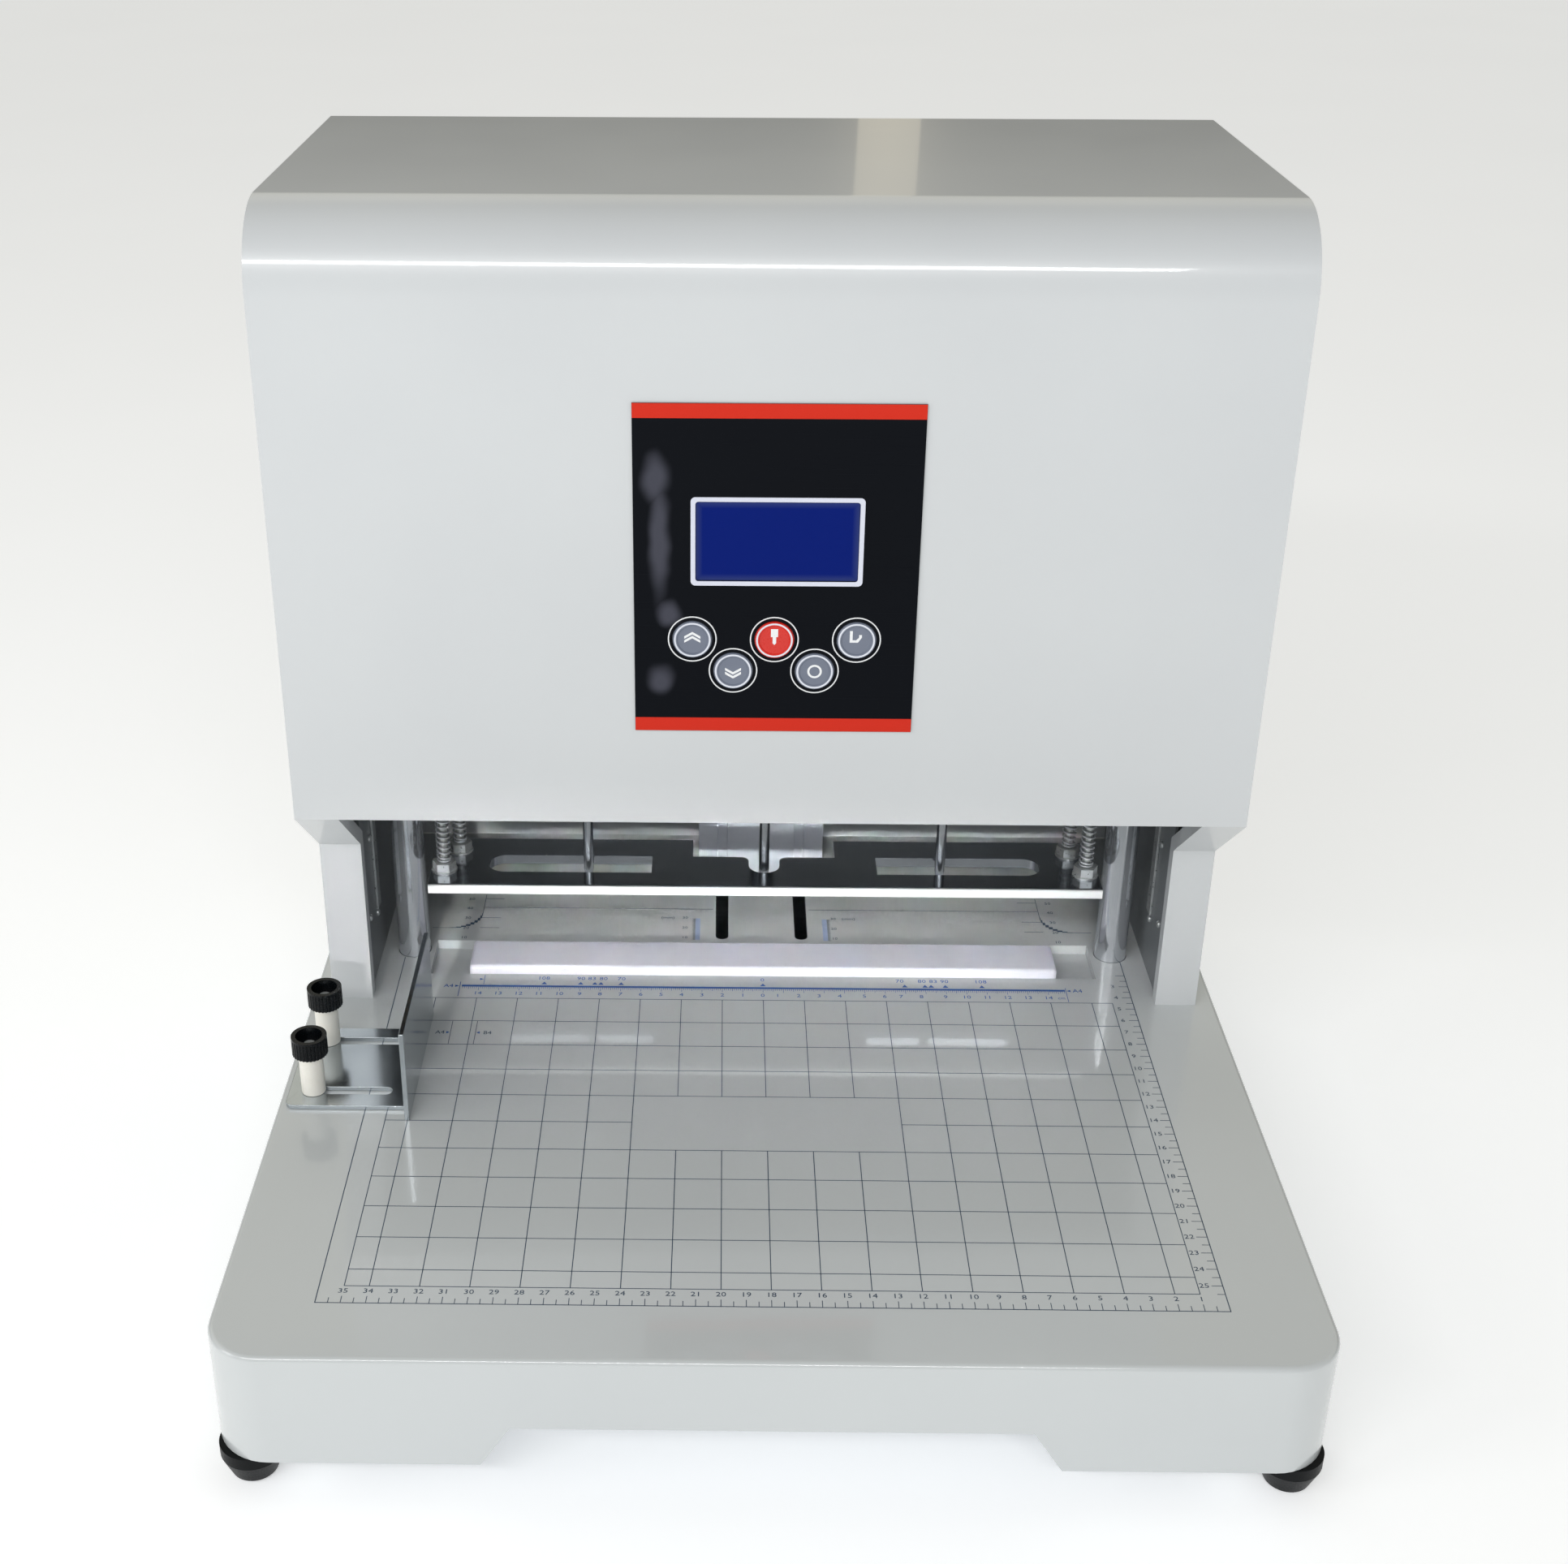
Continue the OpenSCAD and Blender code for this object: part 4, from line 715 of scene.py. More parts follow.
def stroke_tree():
    """Prints one thin block on each point, as large as the point's stroke says."""
    tree, given, result = new_tree("print strokes", ("Finish", "Material"))
    inputs = given.outputs
    size = add(tree, "GeometryNodeInputNamedAttribute", {"Name": "stroke"},
               data_type="FLOAT_VECTOR")
    block = add(tree, "GeometryNodeMeshCube", {"Size": (1, 1, 1)})
    pads = add(tree, "GeometryNodeInstanceOnPoints", {
        "Points": inputs["Geometry"], "Instance": block.outputs["Mesh"],
        "Scale": size.outputs["Attribute"]})
    real = add(tree, "GeometryNodeRealizeInstances", {"Geometry": pads.outputs["Instances"]})
    inked = add(tree, "GeometryNodeSetMaterial", {"Geometry": real.outputs["Geometry"],
                                                  "Material": inputs["Finish"]})
    tree.links.new(inked.outputs["Geometry"], result.inputs["Geometry"])
    return tree


stroke_printer = stroke_tree()


def print_strokes(name, strokes, ink):
    """Strokes are (x, y, width in X, length in Y) on the table, in mm."""
    places = [on_table(x, y, INK_MM / 2) for x, y, w, d in strokes]
    sizes = [(w * MM, d * MM, INK_MM * MM) for x, y, w, d in strokes]
    return grow(name, stroke_printer, ink, points_mesh(name, places, stroke=sizes))


THIN, FINE, BOLD = 0.35, 0.3, 0.4    # widths of the lines in mm


def bar_x(x0, x1, y, thick=THIN):
    """A line across the table."""
    return ((x0 + x1) / 2, y, x1 - x0, thick)


def bar_y(x, y0, y1, thick=THIN):
    """A line from front to back."""
    return (x, (y0 + y1) / 2, thick, y1 - y0)


# %% Squares and frames of the grid
SQUARE = 20
SIDE, NEAR, FAR = 170, -255, -45                       # the ruled field
BLANK_SIDE, BLANK_NEAR, BLANK_FAR = 60, -165, -125     # the window left blank in its middle
FRAME_SIDE, FRAME_NEAR = 180, -265                     # the frame with the centimetre rulers
grid = []
for x in range(BLANK_SIDE, FRAME_SIDE, SQUARE):
    grid += [bar_y(x, NEAR, FAR), bar_y(-x, NEAR, FAR)]
for x in range(SQUARE - BLANK_SIDE, BLANK_SIDE, SQUARE):
    grid += [bar_y(x, BLANK_FAR, FAR), bar_y(x, NEAR, BLANK_NEAR)]
for y in (*range(BLANK_FAR, FAR, SQUARE),
          *range(NEAR + SQUARE // 2, BLANK_NEAR + SQUARE, SQUARE)):
    grid.append(bar_x(-SIDE, SIDE, y))
middle_y = (BLANK_NEAR + BLANK_FAR) / 2
grid += [bar_x(BLANK_SIDE, SIDE, middle_y), bar_x(-SIDE, -BLANK_SIDE, middle_y)]
grid += [bar_x(-SIDE, SIDE, FAR), bar_x(-SIDE, SIDE, NEAR), bar_y(-SIDE, NEAR, FAR),
         bar_y(SIDE, NEAR, FAR)]
grid += [bar_x(-180.2, 180.2, FRAME_NEAR, BOLD), bar_y(-FRAME_SIDE, FRAME_NEAR, -8, BOLD),
         bar_y(FRAME_SIDE, FRAME_NEAR, -6, BOLD)]
print("lines of the grid:", len(grid))

# %% Ticks of the front and right rulers
for half in range(0, 71):
    x = 175 - 5 * half
    grid.append(bar_y(x, FRAME_NEAR, -261 if x % 10 == 0 else -262, FINE))
for half in range(4, 52):
    y = -5 * half
    grid.append(bar_x(175.5 if y % 10 == 0 else 176.8, FRAME_SIDE, y, FINE))
for x, y0, y1 in ((-149.2, -84.9, -65.5), (-137.3, -84.8, -65.4)):
    grid.append(bar_y(x, y0, y1, FINE))
print("with the ticks:", len(grid))


# %% Side rulers and paper corners behind the stick
def side_bar_x(side, x0, x1, y):
    """A line across, given for the right side and mirrored to the left when side is -1."""
    return bar_x(min(side * x0, side * x1), max(side * x0, side * x1), y, FINE)


BAND_X, BAND_WIDE, BAND_Y, BAND_LONG = 32.85, 2.5, 21.7, 21.4
TICKS_X, TICKS_Y, TICK_STEP = 34.1, 11, 0.5
PAPER_X, PAPER_Y, PAPER_R = 160.4, 36, 15      # centre and radius of the round paper corner
ARC_STEPS, ARC_DEGREES, ARC_THICK = 9, 10, 0.25
pale = []
for side in (-1, 1):
    for step in range(0, 43):
        y = TICKS_Y + step * TICK_STEP
        long = 1.6 if step % 2 == 0 else 1.0
        grid.append((side * TICKS_X + side * long / 2, y, long, 0.16))
    pale.append((side * BAND_X, BAND_Y, BAND_WIDE, BAND_LONG))
    grid += [side_bar_x(side, 25, 145, 42), bar_y(side * 145.4, 36, 55, FINE)]
    for y in (51, 31.4, 21.4):
        grid.append(side_bar_x(side, 135.5, 145.4, y))
    for step in range(ARC_STEPS):
        a0, a1 = math.radians(step * ARC_DEGREES), math.radians(step * ARC_DEGREES + ARC_DEGREES)
        x0, x1 = PAPER_X - PAPER_R * math.cos(a0), PAPER_X - PAPER_R * math.cos(a1)
        y0, y1 = PAPER_Y - PAPER_R * math.sin(a0), PAPER_Y - PAPER_R * math.sin(a1)
        grid.append((side * (x0 + x1) / 2, (y0 + y1) / 2, abs(x1 - x0) + ARC_THICK,
                     abs(y1 - y0) + ARC_THICK))
    grid.append(side_bar_x(side, PAPER_X, 170, PAPER_Y - PAPER_R))
printed_grid = print_strokes("printed_grid", grid, ink_grid)
printed_bands = print_strokes("printed_bands", pale, ink_pale)

# %% The millimetre ruler under the stick
TICKS_END = -34.8
ruler = [bar_x(-148.5, 148.5, -34.05, 1.5)]
for x in range(-148, 149):
    length = 3.2 if x % 10 == 0 else 2.2 if x % 5 == 0 else 1.5
    ruler.append(bar_y(x, TICKS_END - length, TICKS_END, 0.22))
ruler += [bar_y(-149.4, -43.6, -30.5, FINE), bar_y(148.9, -44.2, -31.8, FINE),
          bar_y(-137.9, -32.4, -24.3, FINE)]
printed_ruler = print_strokes("printed_ruler", ruler, ink_blue)

# %% [markdown]
# ## Numbers and little triangles
# The numbers are the machine's scale, so they are kept. They are set with Blender's own font,
# turned into meshes, and only then moved to their places. The small triangles mark the usual
# hole spacings; each is a three-sided pad of ink.

# %% Numbers on the table
FONT_SIZE = 1.38    # the size that gives the font's digits a height of one


def set_number(text, x, y, height, stretch=1.0):
    """One number as a flat mesh, centred on a place of the table."""
    curve = bpy.data.curves.new("number", "FONT")
    curve.body, curve.size, curve.resolution_u = str(text), height * FONT_SIZE * MM, 2
    curve.align_x, curve.align_y = "CENTER", "CENTER"
    curve.extrude = INK_MM / 2 * MM
    carrier = bpy.data.objects.new("number", curve)
    bpy.context.scene.collection.objects.link(carrier)
    bpy.context.view_layer.update()
    depsgraph = bpy.context.evaluated_depsgraph_get()
    mesh = bpy.data.meshes.new_from_object(carrier.evaluated_get(depsgraph))
    bpy.data.objects.remove(carrier)
    mesh.transform(Matrix.Diagonal((stretch, 1, 1, 1)))
    mesh.transform(Matrix.Translation(on_table(x, y, INK_MM / 2)))
    return mesh


def joined(name, meshes, finish):
    """Many meshes as one piece."""
    work = bmesh.new()
    for mesh in meshes:
        work.from_mesh(mesh)
        bpy.data.meshes.remove(mesh)
    whole = made_mesh(name, work)
    piece = new_piece(name, whole, finish)
    for polygon in whole.polygons:
        polygon.material_index = 0
    return piece


EDGE_DIGITS = (2.7, 1.15)    # height in mm and stretch
numbers = [set_number(n, (18 - n) * 10, -258, *EDGE_DIGITS) for n in range(1, 36)]
numbers += [set_number(n, 172.6, -10 * n, *EDGE_DIGITS) for n in range(3, 26)]
for side in (-1, 1):
    for n, y in ((30, 33), (20, 23), (10, 13.3)):
        numbers.append(set_number(n, -39.5 if side < 0 else 37.5, y, 2.2))
    for n, y in ((50, 50.5), (40, 41), (30, 31), (20, 21), (10, 11.5)):
        numbers.append(set_number(n, -152.7 if side < 0 else 151.5, y, 2.4))
    numbers.append(set_number("(mm)", -48.5 if side < 0 else 45.5, 33, 2.4))
numbers += [set_number("A4", -154.2, -75.1, 2.8), set_number("B4", -131.6, -75.3, 2.8)]
grid_numbers = joined("grid_numbers", numbers, ink_grid)
print("numbers of the grid:", len(grid_numbers.data.polygons), "faces")

# %% Numbers of the middle ruler
MIDDLE_DIGITS, MIDDLE_ROW = (2.8, 1.1), -40.7
HOLE_DIGITS, HOLE_ROW = (2.9, 1.05), -26.75
right_places = (7.1, 17.4, 27.4, 37.5, 49.6, 59.5, 67.5, 77.5, 89.3, 99.6, 109.8, 119.6, 129.6,
                139.6)
numbers = [set_number(0, -0.2, MIDDLE_ROW, *MIDDLE_DIGITS)]
for n in range(1, 15):
    numbers.append(set_number(n, -10 * n, MIDDLE_ROW, *MIDDLE_DIGITS))
for n, x in enumerate(right_places, 1):
    numbers.append(set_number(n, x, MIDDLE_ROW, *MIDDLE_DIGITS))
numbers.append(set_number("cm", 145.9, -40.9, 2.2))
for n, x in ((108, -108.5), (90, -90), (83, -84.6), (80, -78.9), (70, -70), (70, 67.75),
             (80, 78.75), (83, 84.4), (90, 89.9), (108, 107.75), (0, -0.2)):
    numbers.append(set_number(n, x, HOLE_ROW, *HOLE_DIGITS))
numbers += [set_number("A4", -155, -34.3, 3.0), set_number("A4", 154.6, -34.3, 3.0)]
ruler_numbers = joined("ruler_numbers", numbers, ink_blue)
print("numbers of the ruler:", len(ruler_numbers.data.polygons), "faces")


# %% Triangles
def slab(work, lower, upper):
    """A closed block between two outlines with the same number of corners."""
    lower, upper = [[work.verts.new(corner) for corner in side] for side in (lower, upper)]
    count = len(lower)
    work.faces.new(upper)
    work.faces.new(lower[::-1])
    for i in range(count):
        j = (i + 1) % count
        work.faces.new((lower[i], lower[j], upper[j], upper[i]))


def triangle(x, y, wide, high, turn=0.0):
    """A three-sided pad of ink whose middle lies at (x, y); at turn 0 it points away."""
    work = bmesh.new()
    corners = [(-wide / 2, -high / 2), (wide / 2, -high / 2), (0, high / 2)]
    slab(work, [(a * MM, b * MM, 0) for a, b in corners],
         [(a * MM, b * MM, INK_MM * MM) for a, b in corners])
    mesh = made_mesh("triangle", work)
    mesh.transform(Matrix.Rotation(math.radians(turn), 4, "Z"))
    mesh.transform(Matrix.Translation(on_table(x, y)))
    return mesh


marks = [triangle(x, -31.1, 2.8, 2.3) for x in (-108, -90, -83, -80, -70, 0, 70, 80, 83, 90, 108)]
marks += [triangle(-150.8, -34.3, 1.9, 1.9, -90), triangle(150.2, -34.3, 1.9, 1.9, 90),
          triangle(-139.2, -28.0, 1.9, 1.9, -90), triangle(-150.4, -75.1, 1.9, 1.6, -90),
          triangle(-136.1, -75.1, 1.9, 1.6, 90)]
ruler_marks = joined("ruler_marks", marks, ink_blue)
for piece in (printed_grid, printed_bands, printed_ruler, grid_numbers, ruler_numbers,
              ruler_marks):
    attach(piece, "frame")
print("printed on the table:", sum(len(p.data.polygons) for p in
      (printed_grid, printed_ruler, grid_numbers, ruler_numbers, ruler_marks)), "faces of ink")

# %% [markdown]
# ## Red bars, rings and signs of the keypad
# The keypad film has a red bar at its top and bottom. Round each button runs a thin white ring,
# and each button carries a white sign: two chevrons up, two chevrons down, a drill bit on the red
# one, a plain ring and a hook. The signs are flat outlines on the front of the button, drawn in
# mm from the button's centre and thickened by a few hundredths.

# %% Flat prints on the front
PRINT_MM = 0.04


def flat_print(name, outlines, x, z, y_front, finish, body):
    """Outlines in mm round (x, z), printed on the plane y = y_front and facing the user."""
    work = bmesh.new()
    for outline in outlines:
        slab(work, [(x + a * MM, y_front, z + b * MM) for a, b in outline],
             [(x + a * MM, y_front - PRINT_MM * MM, z + b * MM) for a, b in outline])
    bmesh.ops.recalc_face_normals(work, faces=work.faces)
    piece = new_piece(name, made_mesh(name, work), finish)
    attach(piece, body)


PANEL_X = (PANEL_LOW.x + PANEL_HIGH.x) / 2
PANEL_W = (PANEL_HIGH.x - PANEL_LOW.x) / MM
BAR, INSET = 6.2, 0.05    # height of a red bar, and how far it stays inside the film
bars = []
for z_mm in (BAR / 2, (PANEL_HIGH.z - PANEL_LOW.z) / MM - BAR / 2):
    left, right = -PANEL_W / 2 + INSET, PANEL_W / 2 - INSET
    low, high = z_mm - BAR / 2 + INSET, z_mm + BAR / 2
    bars.append([(left, low), (right, low), (right, high), (left, high)])
flat_print("red_bars", bars, PANEL_X, PANEL_LOW.z, PANEL_LOW.y, ink_red, "frame")
print("keypad", round(PANEL_W, 1), "mm wide, bars", BAR, "mm high")

# %% [markdown]
# ## White rings
# The rings are round and equal, so Geometry Nodes makes one and sets it on five points. A circle
# swept along a circle would be a wire; a flat band is wanted, so the profile is a flat quad.

# %% A tree that prints rings
def ring_tree():
    """Sets one flat ring on each point, facing the user."""
    tree, given, result = new_tree("print rings", ("Radius", "Float"), ("Band", "Float"),
                                   ("Thickness", "Float"), ("Finish", "Material"))
    inputs = given.outputs
    circle = add(tree, "GeometryNodeCurvePrimitiveCircle", {"Resolution": 64,
                                                            "Radius": inputs["Radius"]})
    band = add(tree, "GeometryNodeCurvePrimitiveQuadrilateral",
               {"Width": inputs["Band"], "Height": inputs["Thickness"]})
    swept = add(tree, "GeometryNodeCurveToMesh", {"Curve": circle.outputs["Curve"],
                                                  "Profile Curve": band.outputs["Curve"]})
    upright = add(tree, "GeometryNodeTransform", {"Geometry": swept.outputs["Mesh"],
                                                  "Rotation": (math.radians(90), 0, 0)})
    rings = add(tree, "GeometryNodeInstanceOnPoints", {"Points": inputs["Geometry"],
                                                       "Instance": upright.outputs["Geometry"]})
    real = add(tree, "GeometryNodeRealizeInstances", {"Geometry": rings.outputs["Instances"]})
    inked = add(tree, "GeometryNodeSetMaterial", {"Geometry": real.outputs["Geometry"],
                                                  "Material": inputs["Finish"]})
    tree.links.new(inked.outputs["Geometry"], result.inputs["Geometry"])
    return tree


BUTTONS = ("up", "down", "drill", "select", "reset")
centres = {}
for key in BUTTONS:
    low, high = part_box(key + "_button")
    centres[key] = Vector(((low.x + high.x) / 2, low.y, (low.z + high.z) / 2))
ring_places = [(c.x, PANEL_LOW.y - PRINT_MM / 2 * MM, c.z) for c in centres.values()]
white_rings = grow("white_rings", ring_tree(), ink_white, points_mesh("rings", ring_places),
                   Radius=10.05 * MM, Band=0.55 * MM, Thickness=PRINT_MM * MM)
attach(white_rings, "frame")

# %% [markdown]
# ## Buttons: bright rims and signs
# Each button is one moulded key with a raised rim of hot silver foil. The solid has the rim's
# shape; a thin foil band is laid over it, so rim and disc can have different finishes.

# %% Rims of foil
SMOOTH_BELOW = math.radians(40)


def revolved(work, profile, steps, place, closed):
    """Turns a profile of (radius, height) in mm round; place says where (x, y, height) is."""
    rows = []
    for step in range(steps):
        a = 2 * math.pi * step / steps
        rows.append([work.verts.new(place(r * MM * math.cos(a), r * MM * math.sin(a), h * MM))
                     for r, h in profile])
    count = len(profile)
    for step in range(steps):
        following = rows[(step + 1) % steps]
        for i in range(count if closed else count - 1):
            j = (i + 1) % count
            work.faces.new((rows[step][i], following[i], following[j], rows[step][j]))


# radius, and height over the button's front, in mm
RIM = [(6.55, -0.42), (6.85, -0.02), (7.2, 0.03), (7.7, 0.03), (8.05, -0.3), (8.05, -0.36),
       (7.6, -0.1), (6.8, -0.1)]
for key in BUTTONS:
    centre = centres[key]
    work = bmesh.new()
    revolved(work, RIM, 48, lambda x, y, h: (centre.x + x, centre.y - h, centre.z + y), True)
    bmesh.ops.recalc_face_normals(work, faces=work.faces)
    mesh = made_mesh(key + "_rim", work)
    piece = new_piece(key + "_rim", mesh, rim_silver)
    mesh.shade_smooth()
    mesh.set_sharp_from_angle(angle=SMOOTH_BELOW)
    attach(piece, key + "_button")
print("rims on", len(BUTTONS), "keys")


# %% Signs on the keys
RING_PIECES = 24


def chevron(shift, up=1):
    """One bar of a double arrow, as a closed outline."""
    arm, rise, thick = 3.4, 2.0, 1.15
    points = [(-arm, 0), (0, rise), (arm, 0), (arm, -thick), (0, rise - thick), (-arm, -thick)]
    return [(a, up * (b + shift)) for a, b in points]


def ring_outline(r0, r1):
    """A flat ring as a chain of quads."""
    quads = []
    for k in range(RING_PIECES):
        a, b = 2 * math.pi * k / RING_PIECES, 2 * math.pi * (k + 1) / RING_PIECES
        quads.append([(r0 * math.cos(a), r0 * math.sin(a)), (r1 * math.cos(a), r1 * math.sin(a)),
                      (r1 * math.cos(b), r1 * math.sin(b)), (r0 * math.cos(b), r0 * math.sin(b))])
    return quads


signs = {
    "up": [chevron(1.5), chevron(-0.3)],
    "down": [chevron(1.5, -1), chevron(-0.3, -1)],
    "drill": [[(-1.5, 5.0), (1.5, 5.0), (1.5, 1.4), (-1.5, 1.4)],
              [(-0.75, 1.4), (0.75, 1.4), (0.75, -1.4), (0.0, -2.2), (-0.75, -1.4)]],
    "select": ring_outline(2.2, 3.1),
    "reset": [[(-2.9, 4.4), (-1.7, 4.4), (-1.7, 0.2), (-2.9, -0.9)],
              [(-2.9, -0.9), (-1.7, 0.2), (-0.2, 0.2), (0.6, -0.9)],
              [(0.6, -0.9), (-0.2, 0.2), (1.0, 1.4), (2.2, 1.4)],
              [(2.2, 1.4), (1.0, 1.4), (1.0, 2.6), (2.2, 2.6)]],
}
DISC_DEEP = 0.4 * MM    # how far the disc lies behind the rim's front
for key, outlines in signs.items():
    centre = centres[key]
    flat_print(key + "_sign", outlines, centre.x, centre.z, centre.y + DISC_DEEP, ink_white,
               key + "_button")
print("signs on", len(signs), "keys, keys stand at Y", round(centres["drill"].y / MM, 2), "mm")

# %% [markdown]
# ## Screws with a cross recess
# Six small pan head screws hold the strips and the inner walls. They are the ones that the
# photograph shows close by; the screws of the rear and bottom covers keep the part's own plain
# heads. One screw head is made as a low dome with a cross cut into it, and Geometry Nodes sets
# it on every place, turned to look out of its wall. The turn of each cross is random but comes
# from a fixed seed, as no fitter leaves all crosses upright.

# %% One screw head
HEAD_WIDE_MM, HEAD_HIGH_MM, HEAD_STEPS = 4.0, 1.3, 24
# shares of the head's radius and height, from its foot to the middle of its top
DOME = [(0, 0), (1, 0), (1, 0.35), (0.93, 0.62), (0.78, 0.83), (0.5, 0.96), (0.2, 1), (0, 1)]
CROSS_LONG, CROSS_WIDE, CROSS_DEEP = 1.1, 0.26, 0.9    # shares of the radius and the height


def pan_head():
    """A domed head standing on z = 0, with a cross recess."""
    r, h = HEAD_WIDE_MM / 2, HEAD_HIGH_MM
    work = bmesh.new()
    revolved(work, [(r * p, h * q) for p, q in DOME], HEAD_STEPS,
             lambda x, y, height: (x, y, height), False)
    bmesh.ops.remove_doubles(work, verts=work.verts, dist=0.001 * MM)
    bmesh.ops.recalc_face_normals(work, faces=work.faces)
    head_piece = new_piece("pan_head", made_mesh("pan_head", work), zinc)
    for wide, deep in ((r * CROSS_LONG, r * CROSS_WIDE), (r * CROSS_WIDE, r * CROSS_LONG)):
        work = bmesh.new()
        bmesh.ops.create_cube(work, size=1.0, matrix=Matrix.Translation(
            (0, 0, h * MM)) @ Matrix.Diagonal((wide * MM, deep * MM, h * CROSS_DEEP * MM, 1)))
        cutter = new_piece("cross", made_mesh("cross", work))
        cut = head_piece.modifiers.new("cross", "BOOLEAN")
        cut.object, cut.operation, cut.solver = cutter, "DIFFERENCE", "EXACT"
        keep_result(head_piece)
        bpy.data.objects.remove(cutter)
    head_piece.data.set_sharp_from_angle(angle=SMOOTH_BELOW)
    head_mesh = head_piece.data
    bpy.data.objects.remove(head_piece)
    return head_mesh


# %% A tree that sets screws
FULL_TURN = 6.283


def screw_tree():
    """Sets one head on each point, looking the point's way out, with a random turn."""
    tree, given, result = new_tree("set screws", ("Head", "Object"), ("Seed", "Int"),
                                   ("Finish", "Material"))
    inputs = given.outputs
    head_info = add(tree, "GeometryNodeObjectInfo", {"Object": inputs["Head"]})
    out = add(tree, "GeometryNodeInputNamedAttribute", {"Name": "out"},
              data_type="FLOAT_VECTOR")
    face_out = add(tree, "FunctionNodeAlignRotationToVector",
                   {"Vector": out.outputs["Attribute"]}, axis="Z")
    turn = add(tree, "FunctionNodeRandomValue", {"Min": (0, 0, 0), "Max": (0, 0, FULL_TURN),
                                                 "Seed": inputs["Seed"]},
               data_type="FLOAT_VECTOR")
    twist = add(tree, "FunctionNodeEulerToRotation", {"Euler": turn.outputs["Value"]})
    rotation = add(tree, "FunctionNodeRotateRotation",
                   {"Rotation": face_out.outputs["Rotation"],
                    "Rotate By": twist.outputs["Rotation"]}, rotation_space="LOCAL")
    size = add(tree, "GeometryNodeInputNamedAttribute", {"Name": "size"},
               data_type="FLOAT_VECTOR")
    screws = add(tree, "GeometryNodeInstanceOnPoints", {
        "Points": inputs["Geometry"], "Instance": head_info.outputs["Geometry"],
        "Rotation": rotation.outputs["Rotation"], "Scale": size.outputs["Attribute"]})
    real = add(tree, "GeometryNodeRealizeInstances", {"Geometry": screws.outputs["Instances"]})
    shiny = add(tree, "GeometryNodeSetMaterial", {"Geometry": real.outputs["Geometry"],
                                                  "Material": inputs["Finish"]})
    tree.links.new(shiny.outputs["Geometry"], result.inputs["Geometry"])
    return tree


# %% Set the six screws of the inner walls
wall_boxes = clusters("wall_screws")
places, outs, sizes = [], [], []
for low, high in wall_boxes:
    side = 1 if low.x > 0 else -1
    wall_low, wall_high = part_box("right_inner_wall" if side > 0 else "left_inner_wall")
    face_x = wall_low.x if side > 0 else wall_high.x
    places.append((face_x, (low.y + high.y) / 2, (low.z + high.z) / 2))
    outs.append((-side, 0.0, 0.0))
    sizes.append(((high.y - low.y) / (HEAD_WIDE_MM * MM),) * 3)
head_carrier = new_piece("head_carrier", pan_head())
wall_screws = grow("wall_screw_heads", screw_tree(), zinc,
                   points_mesh("wall_points", places, out=outs, size=sizes),
                   Head=head_carrier, Seed=7)
bpy.data.objects.remove(head_carrier)
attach(wall_screws, "frame")
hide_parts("wall_screws")

# %% [markdown]
# ## Floor and light
# The photograph was cut out on white, so the floor is a pale sheet that glows a little, like a
# light table. The room itself isn't seen; the paint only suggests how it was lit. The front is
# bright, as if windows were behind the photographer. The flat top is much darker, as if it
# mirrored a dim rear wall, and has a pale strip, as from an open door. A thin bright line runs
# along the upper bend, as from the top of a window. The sky below is built like such a room:
# bright in front, dim behind, with a bright band higher up. It depends on direction alone, so
# every view of the machine is lit the same way. The table under the head is brighter in the
# photograph than this sky makes it, so a narrow beam from far in front reaches in there. That
# beam is made up for the match.

# %% Floor
REACH = 9    # metres from the middle to each side of the floor
floor_mesh = bpy.data.meshes.new("floor")
floor_mesh.from_pydata([(-REACH, -REACH, 0), (REACH, -REACH, 0), (REACH, REACH, 0),
                        (-REACH, REACH, 0)], [], [(0, 1, 2, 3)])
floor_finish, floor_tree, floor_shader, floor_place = start_finish(
    "studio_paper_white", Roughness=0.9, Emission_Color=linear("#FBFCFD"), Emission_Strength=0.36,
    Specular_IOR_Level=0.1)
fleck = add(floor_tree, "ShaderNodeTexNoise", {"Vector": floor_place, "Scale": 3.0, "Detail": 2.0})
paper = add(floor_tree, "ShaderNodeMix", {"Factor": fleck.outputs["Fac"],
                                          "A": linear("#F2F3F4"), "B": linear("#F7F8F9")},
            data_type="RGBA")
feed(floor_tree, floor_shader, Base_Color=paper.outputs["Result"])
floor = new_piece("floor", floor_mesh, floor_finish)
print("floor of", 2 * REACH, "m a side")

# %% The room as a sky
world = bpy.data.worlds.new("room")
world.use_nodes = True
sky = world.node_tree
direction = add(sky, "ShaderNodeTexCoord").outputs["Generated"]
parts = add(sky, "ShaderNodeSeparateXYZ", {"Vector": direction})
toward_front = add(sky, "ShaderNodeMapRange", {"Value": parts.outputs["Y"], "From Min": 0.25,
                                               "From Max": -0.45},
                   interpolation_type="SMOOTHSTEP")
windows = add(sky, "ShaderNodeMapRange", {"Value": parts.outputs["Z"], "From Min": 0.6,
                                          "From Max": 0.95, "To Min": 0.49, "To Max": 0.26},
              interpolation_type="SMOOTHSTEP")
rear_low = add(sky, "ShaderNodeMapRange", {"Value": parts.outputs["Z"], "From Min": 0.26,
                                           "From Max": 0.36, "To Min": 0.08, "To Max": 0.9},
               interpolation_type="SMOOTHSTEP")
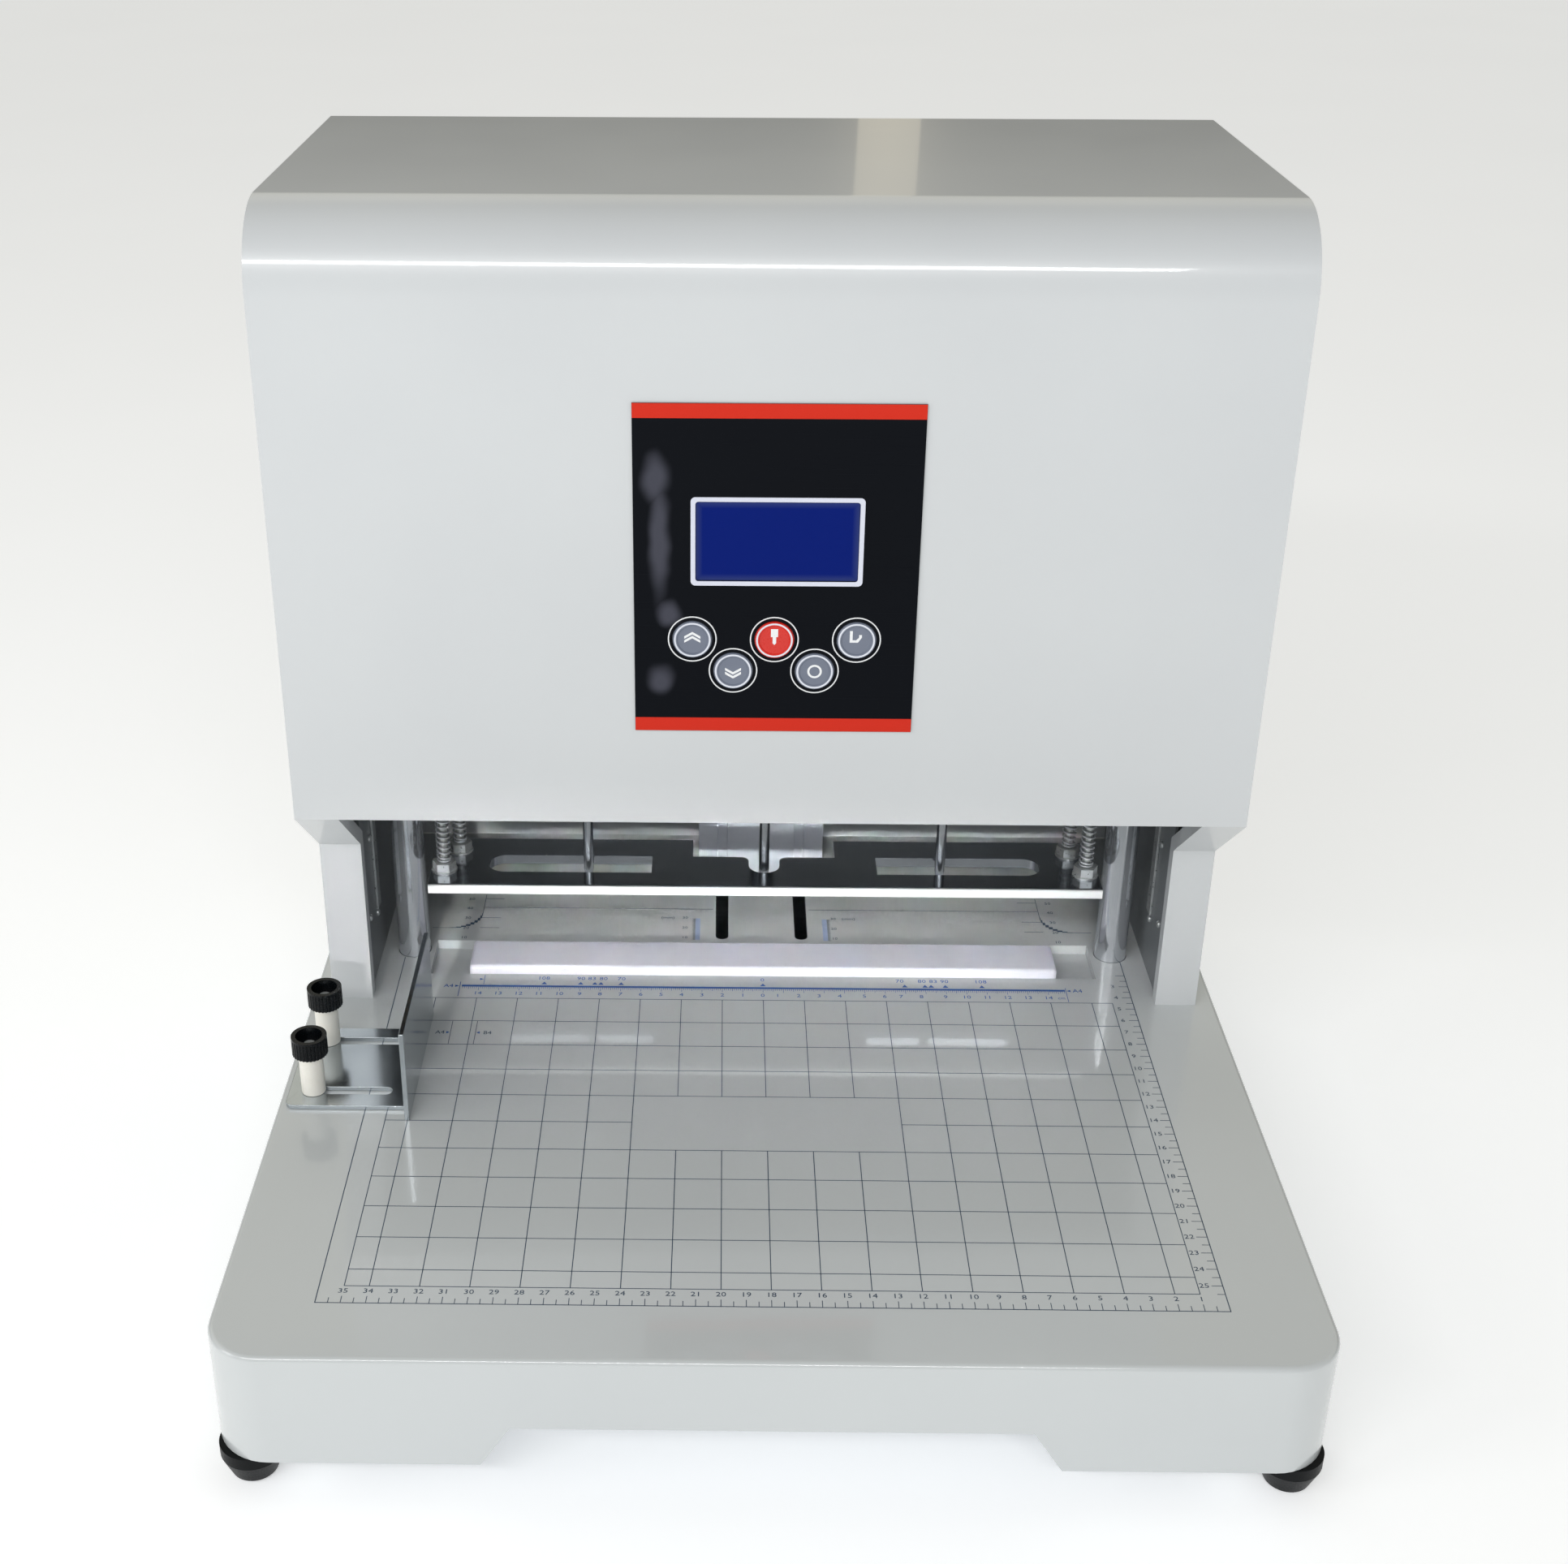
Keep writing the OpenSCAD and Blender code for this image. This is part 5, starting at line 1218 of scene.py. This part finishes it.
rear_high = add(sky, "ShaderNodeMapRange", {"Value": parts.outputs["Z"], "From Min": 0.6,
                                            "From Max": 0.85, "To Min": 1.0, "To Max": 0.3},
                interpolation_type="SMOOTHSTEP")
rear = add(sky, "ShaderNodeMath", {0: rear_low.outputs["Result"], 1: rear_high.outputs["Result"]},
           operation="MULTIPLY")
strength = add(sky, "ShaderNodeMix", {"Factor": toward_front.outputs["Result"],
                                      "A": rear.outputs["Value"],
                                      "B": windows.outputs["Result"]})
tint = add(sky, "ShaderNodeMix", {"Factor": toward_front.outputs["Result"],
                                  "A": linear("#F1EEE0"), "B": linear("#F4F6F8")},
           data_type="RGBA")
background = sky.nodes["Background"]
sky.links.new(tint.outputs["Result"], background.inputs["Color"])
sky.links.new(strength.outputs["Result"], background.inputs["Strength"])
bpy.context.scene.world = world
print("sky of", len(sky.nodes), "nodes")


# %% Lamps
def soft_lamp(name, place, aim, wide, high, watts, tint="#FFFFFF", spread=180):
    """A rectangular lamp that looks at a point; a small spread in degrees makes it a beam."""
    data = bpy.data.lights.new(name, "AREA")
    data.shape, data.size, data.size_y = "RECTANGLE", wide, high
    data.energy, data.color, data.spread = watts, linear(tint)[:3], math.radians(spread)
    lamp = bpy.data.objects.new(name, data)
    lamp.location = place
    lamp.rotation_euler = (Vector(aim) - Vector(place)).to_track_quat("-Z", "Y").to_euler()
    bpy.context.scene.collection.objects.link(lamp)


# place and aim in metres, width and height in metres, watts
soft_lamp("window_top", (-0.45, -1.75, 1.55), (0, 0, 0.35), 2.3, 0.17, 22)
soft_lamp("window_left", (-2.0, -0.9, 0.9), (0, 0, 0.2), 0.8, 1.2, 8)
soft_lamp("far_window", (-0.2, -1.62, 0.64), (0, 0.14, 0.07), 0.32, 0.05, 0.1, spread=5)
soft_lamp("open_door", (0.24, 2.6, 0.95), (0.02, 0.1, 0.45), 0.1, 0.8, 0.19, "#F4E8CC")
bpy.context.scene.view_settings.view_transform = "Standard"

# %% [markdown]

# %% End
print("the scene is set up")
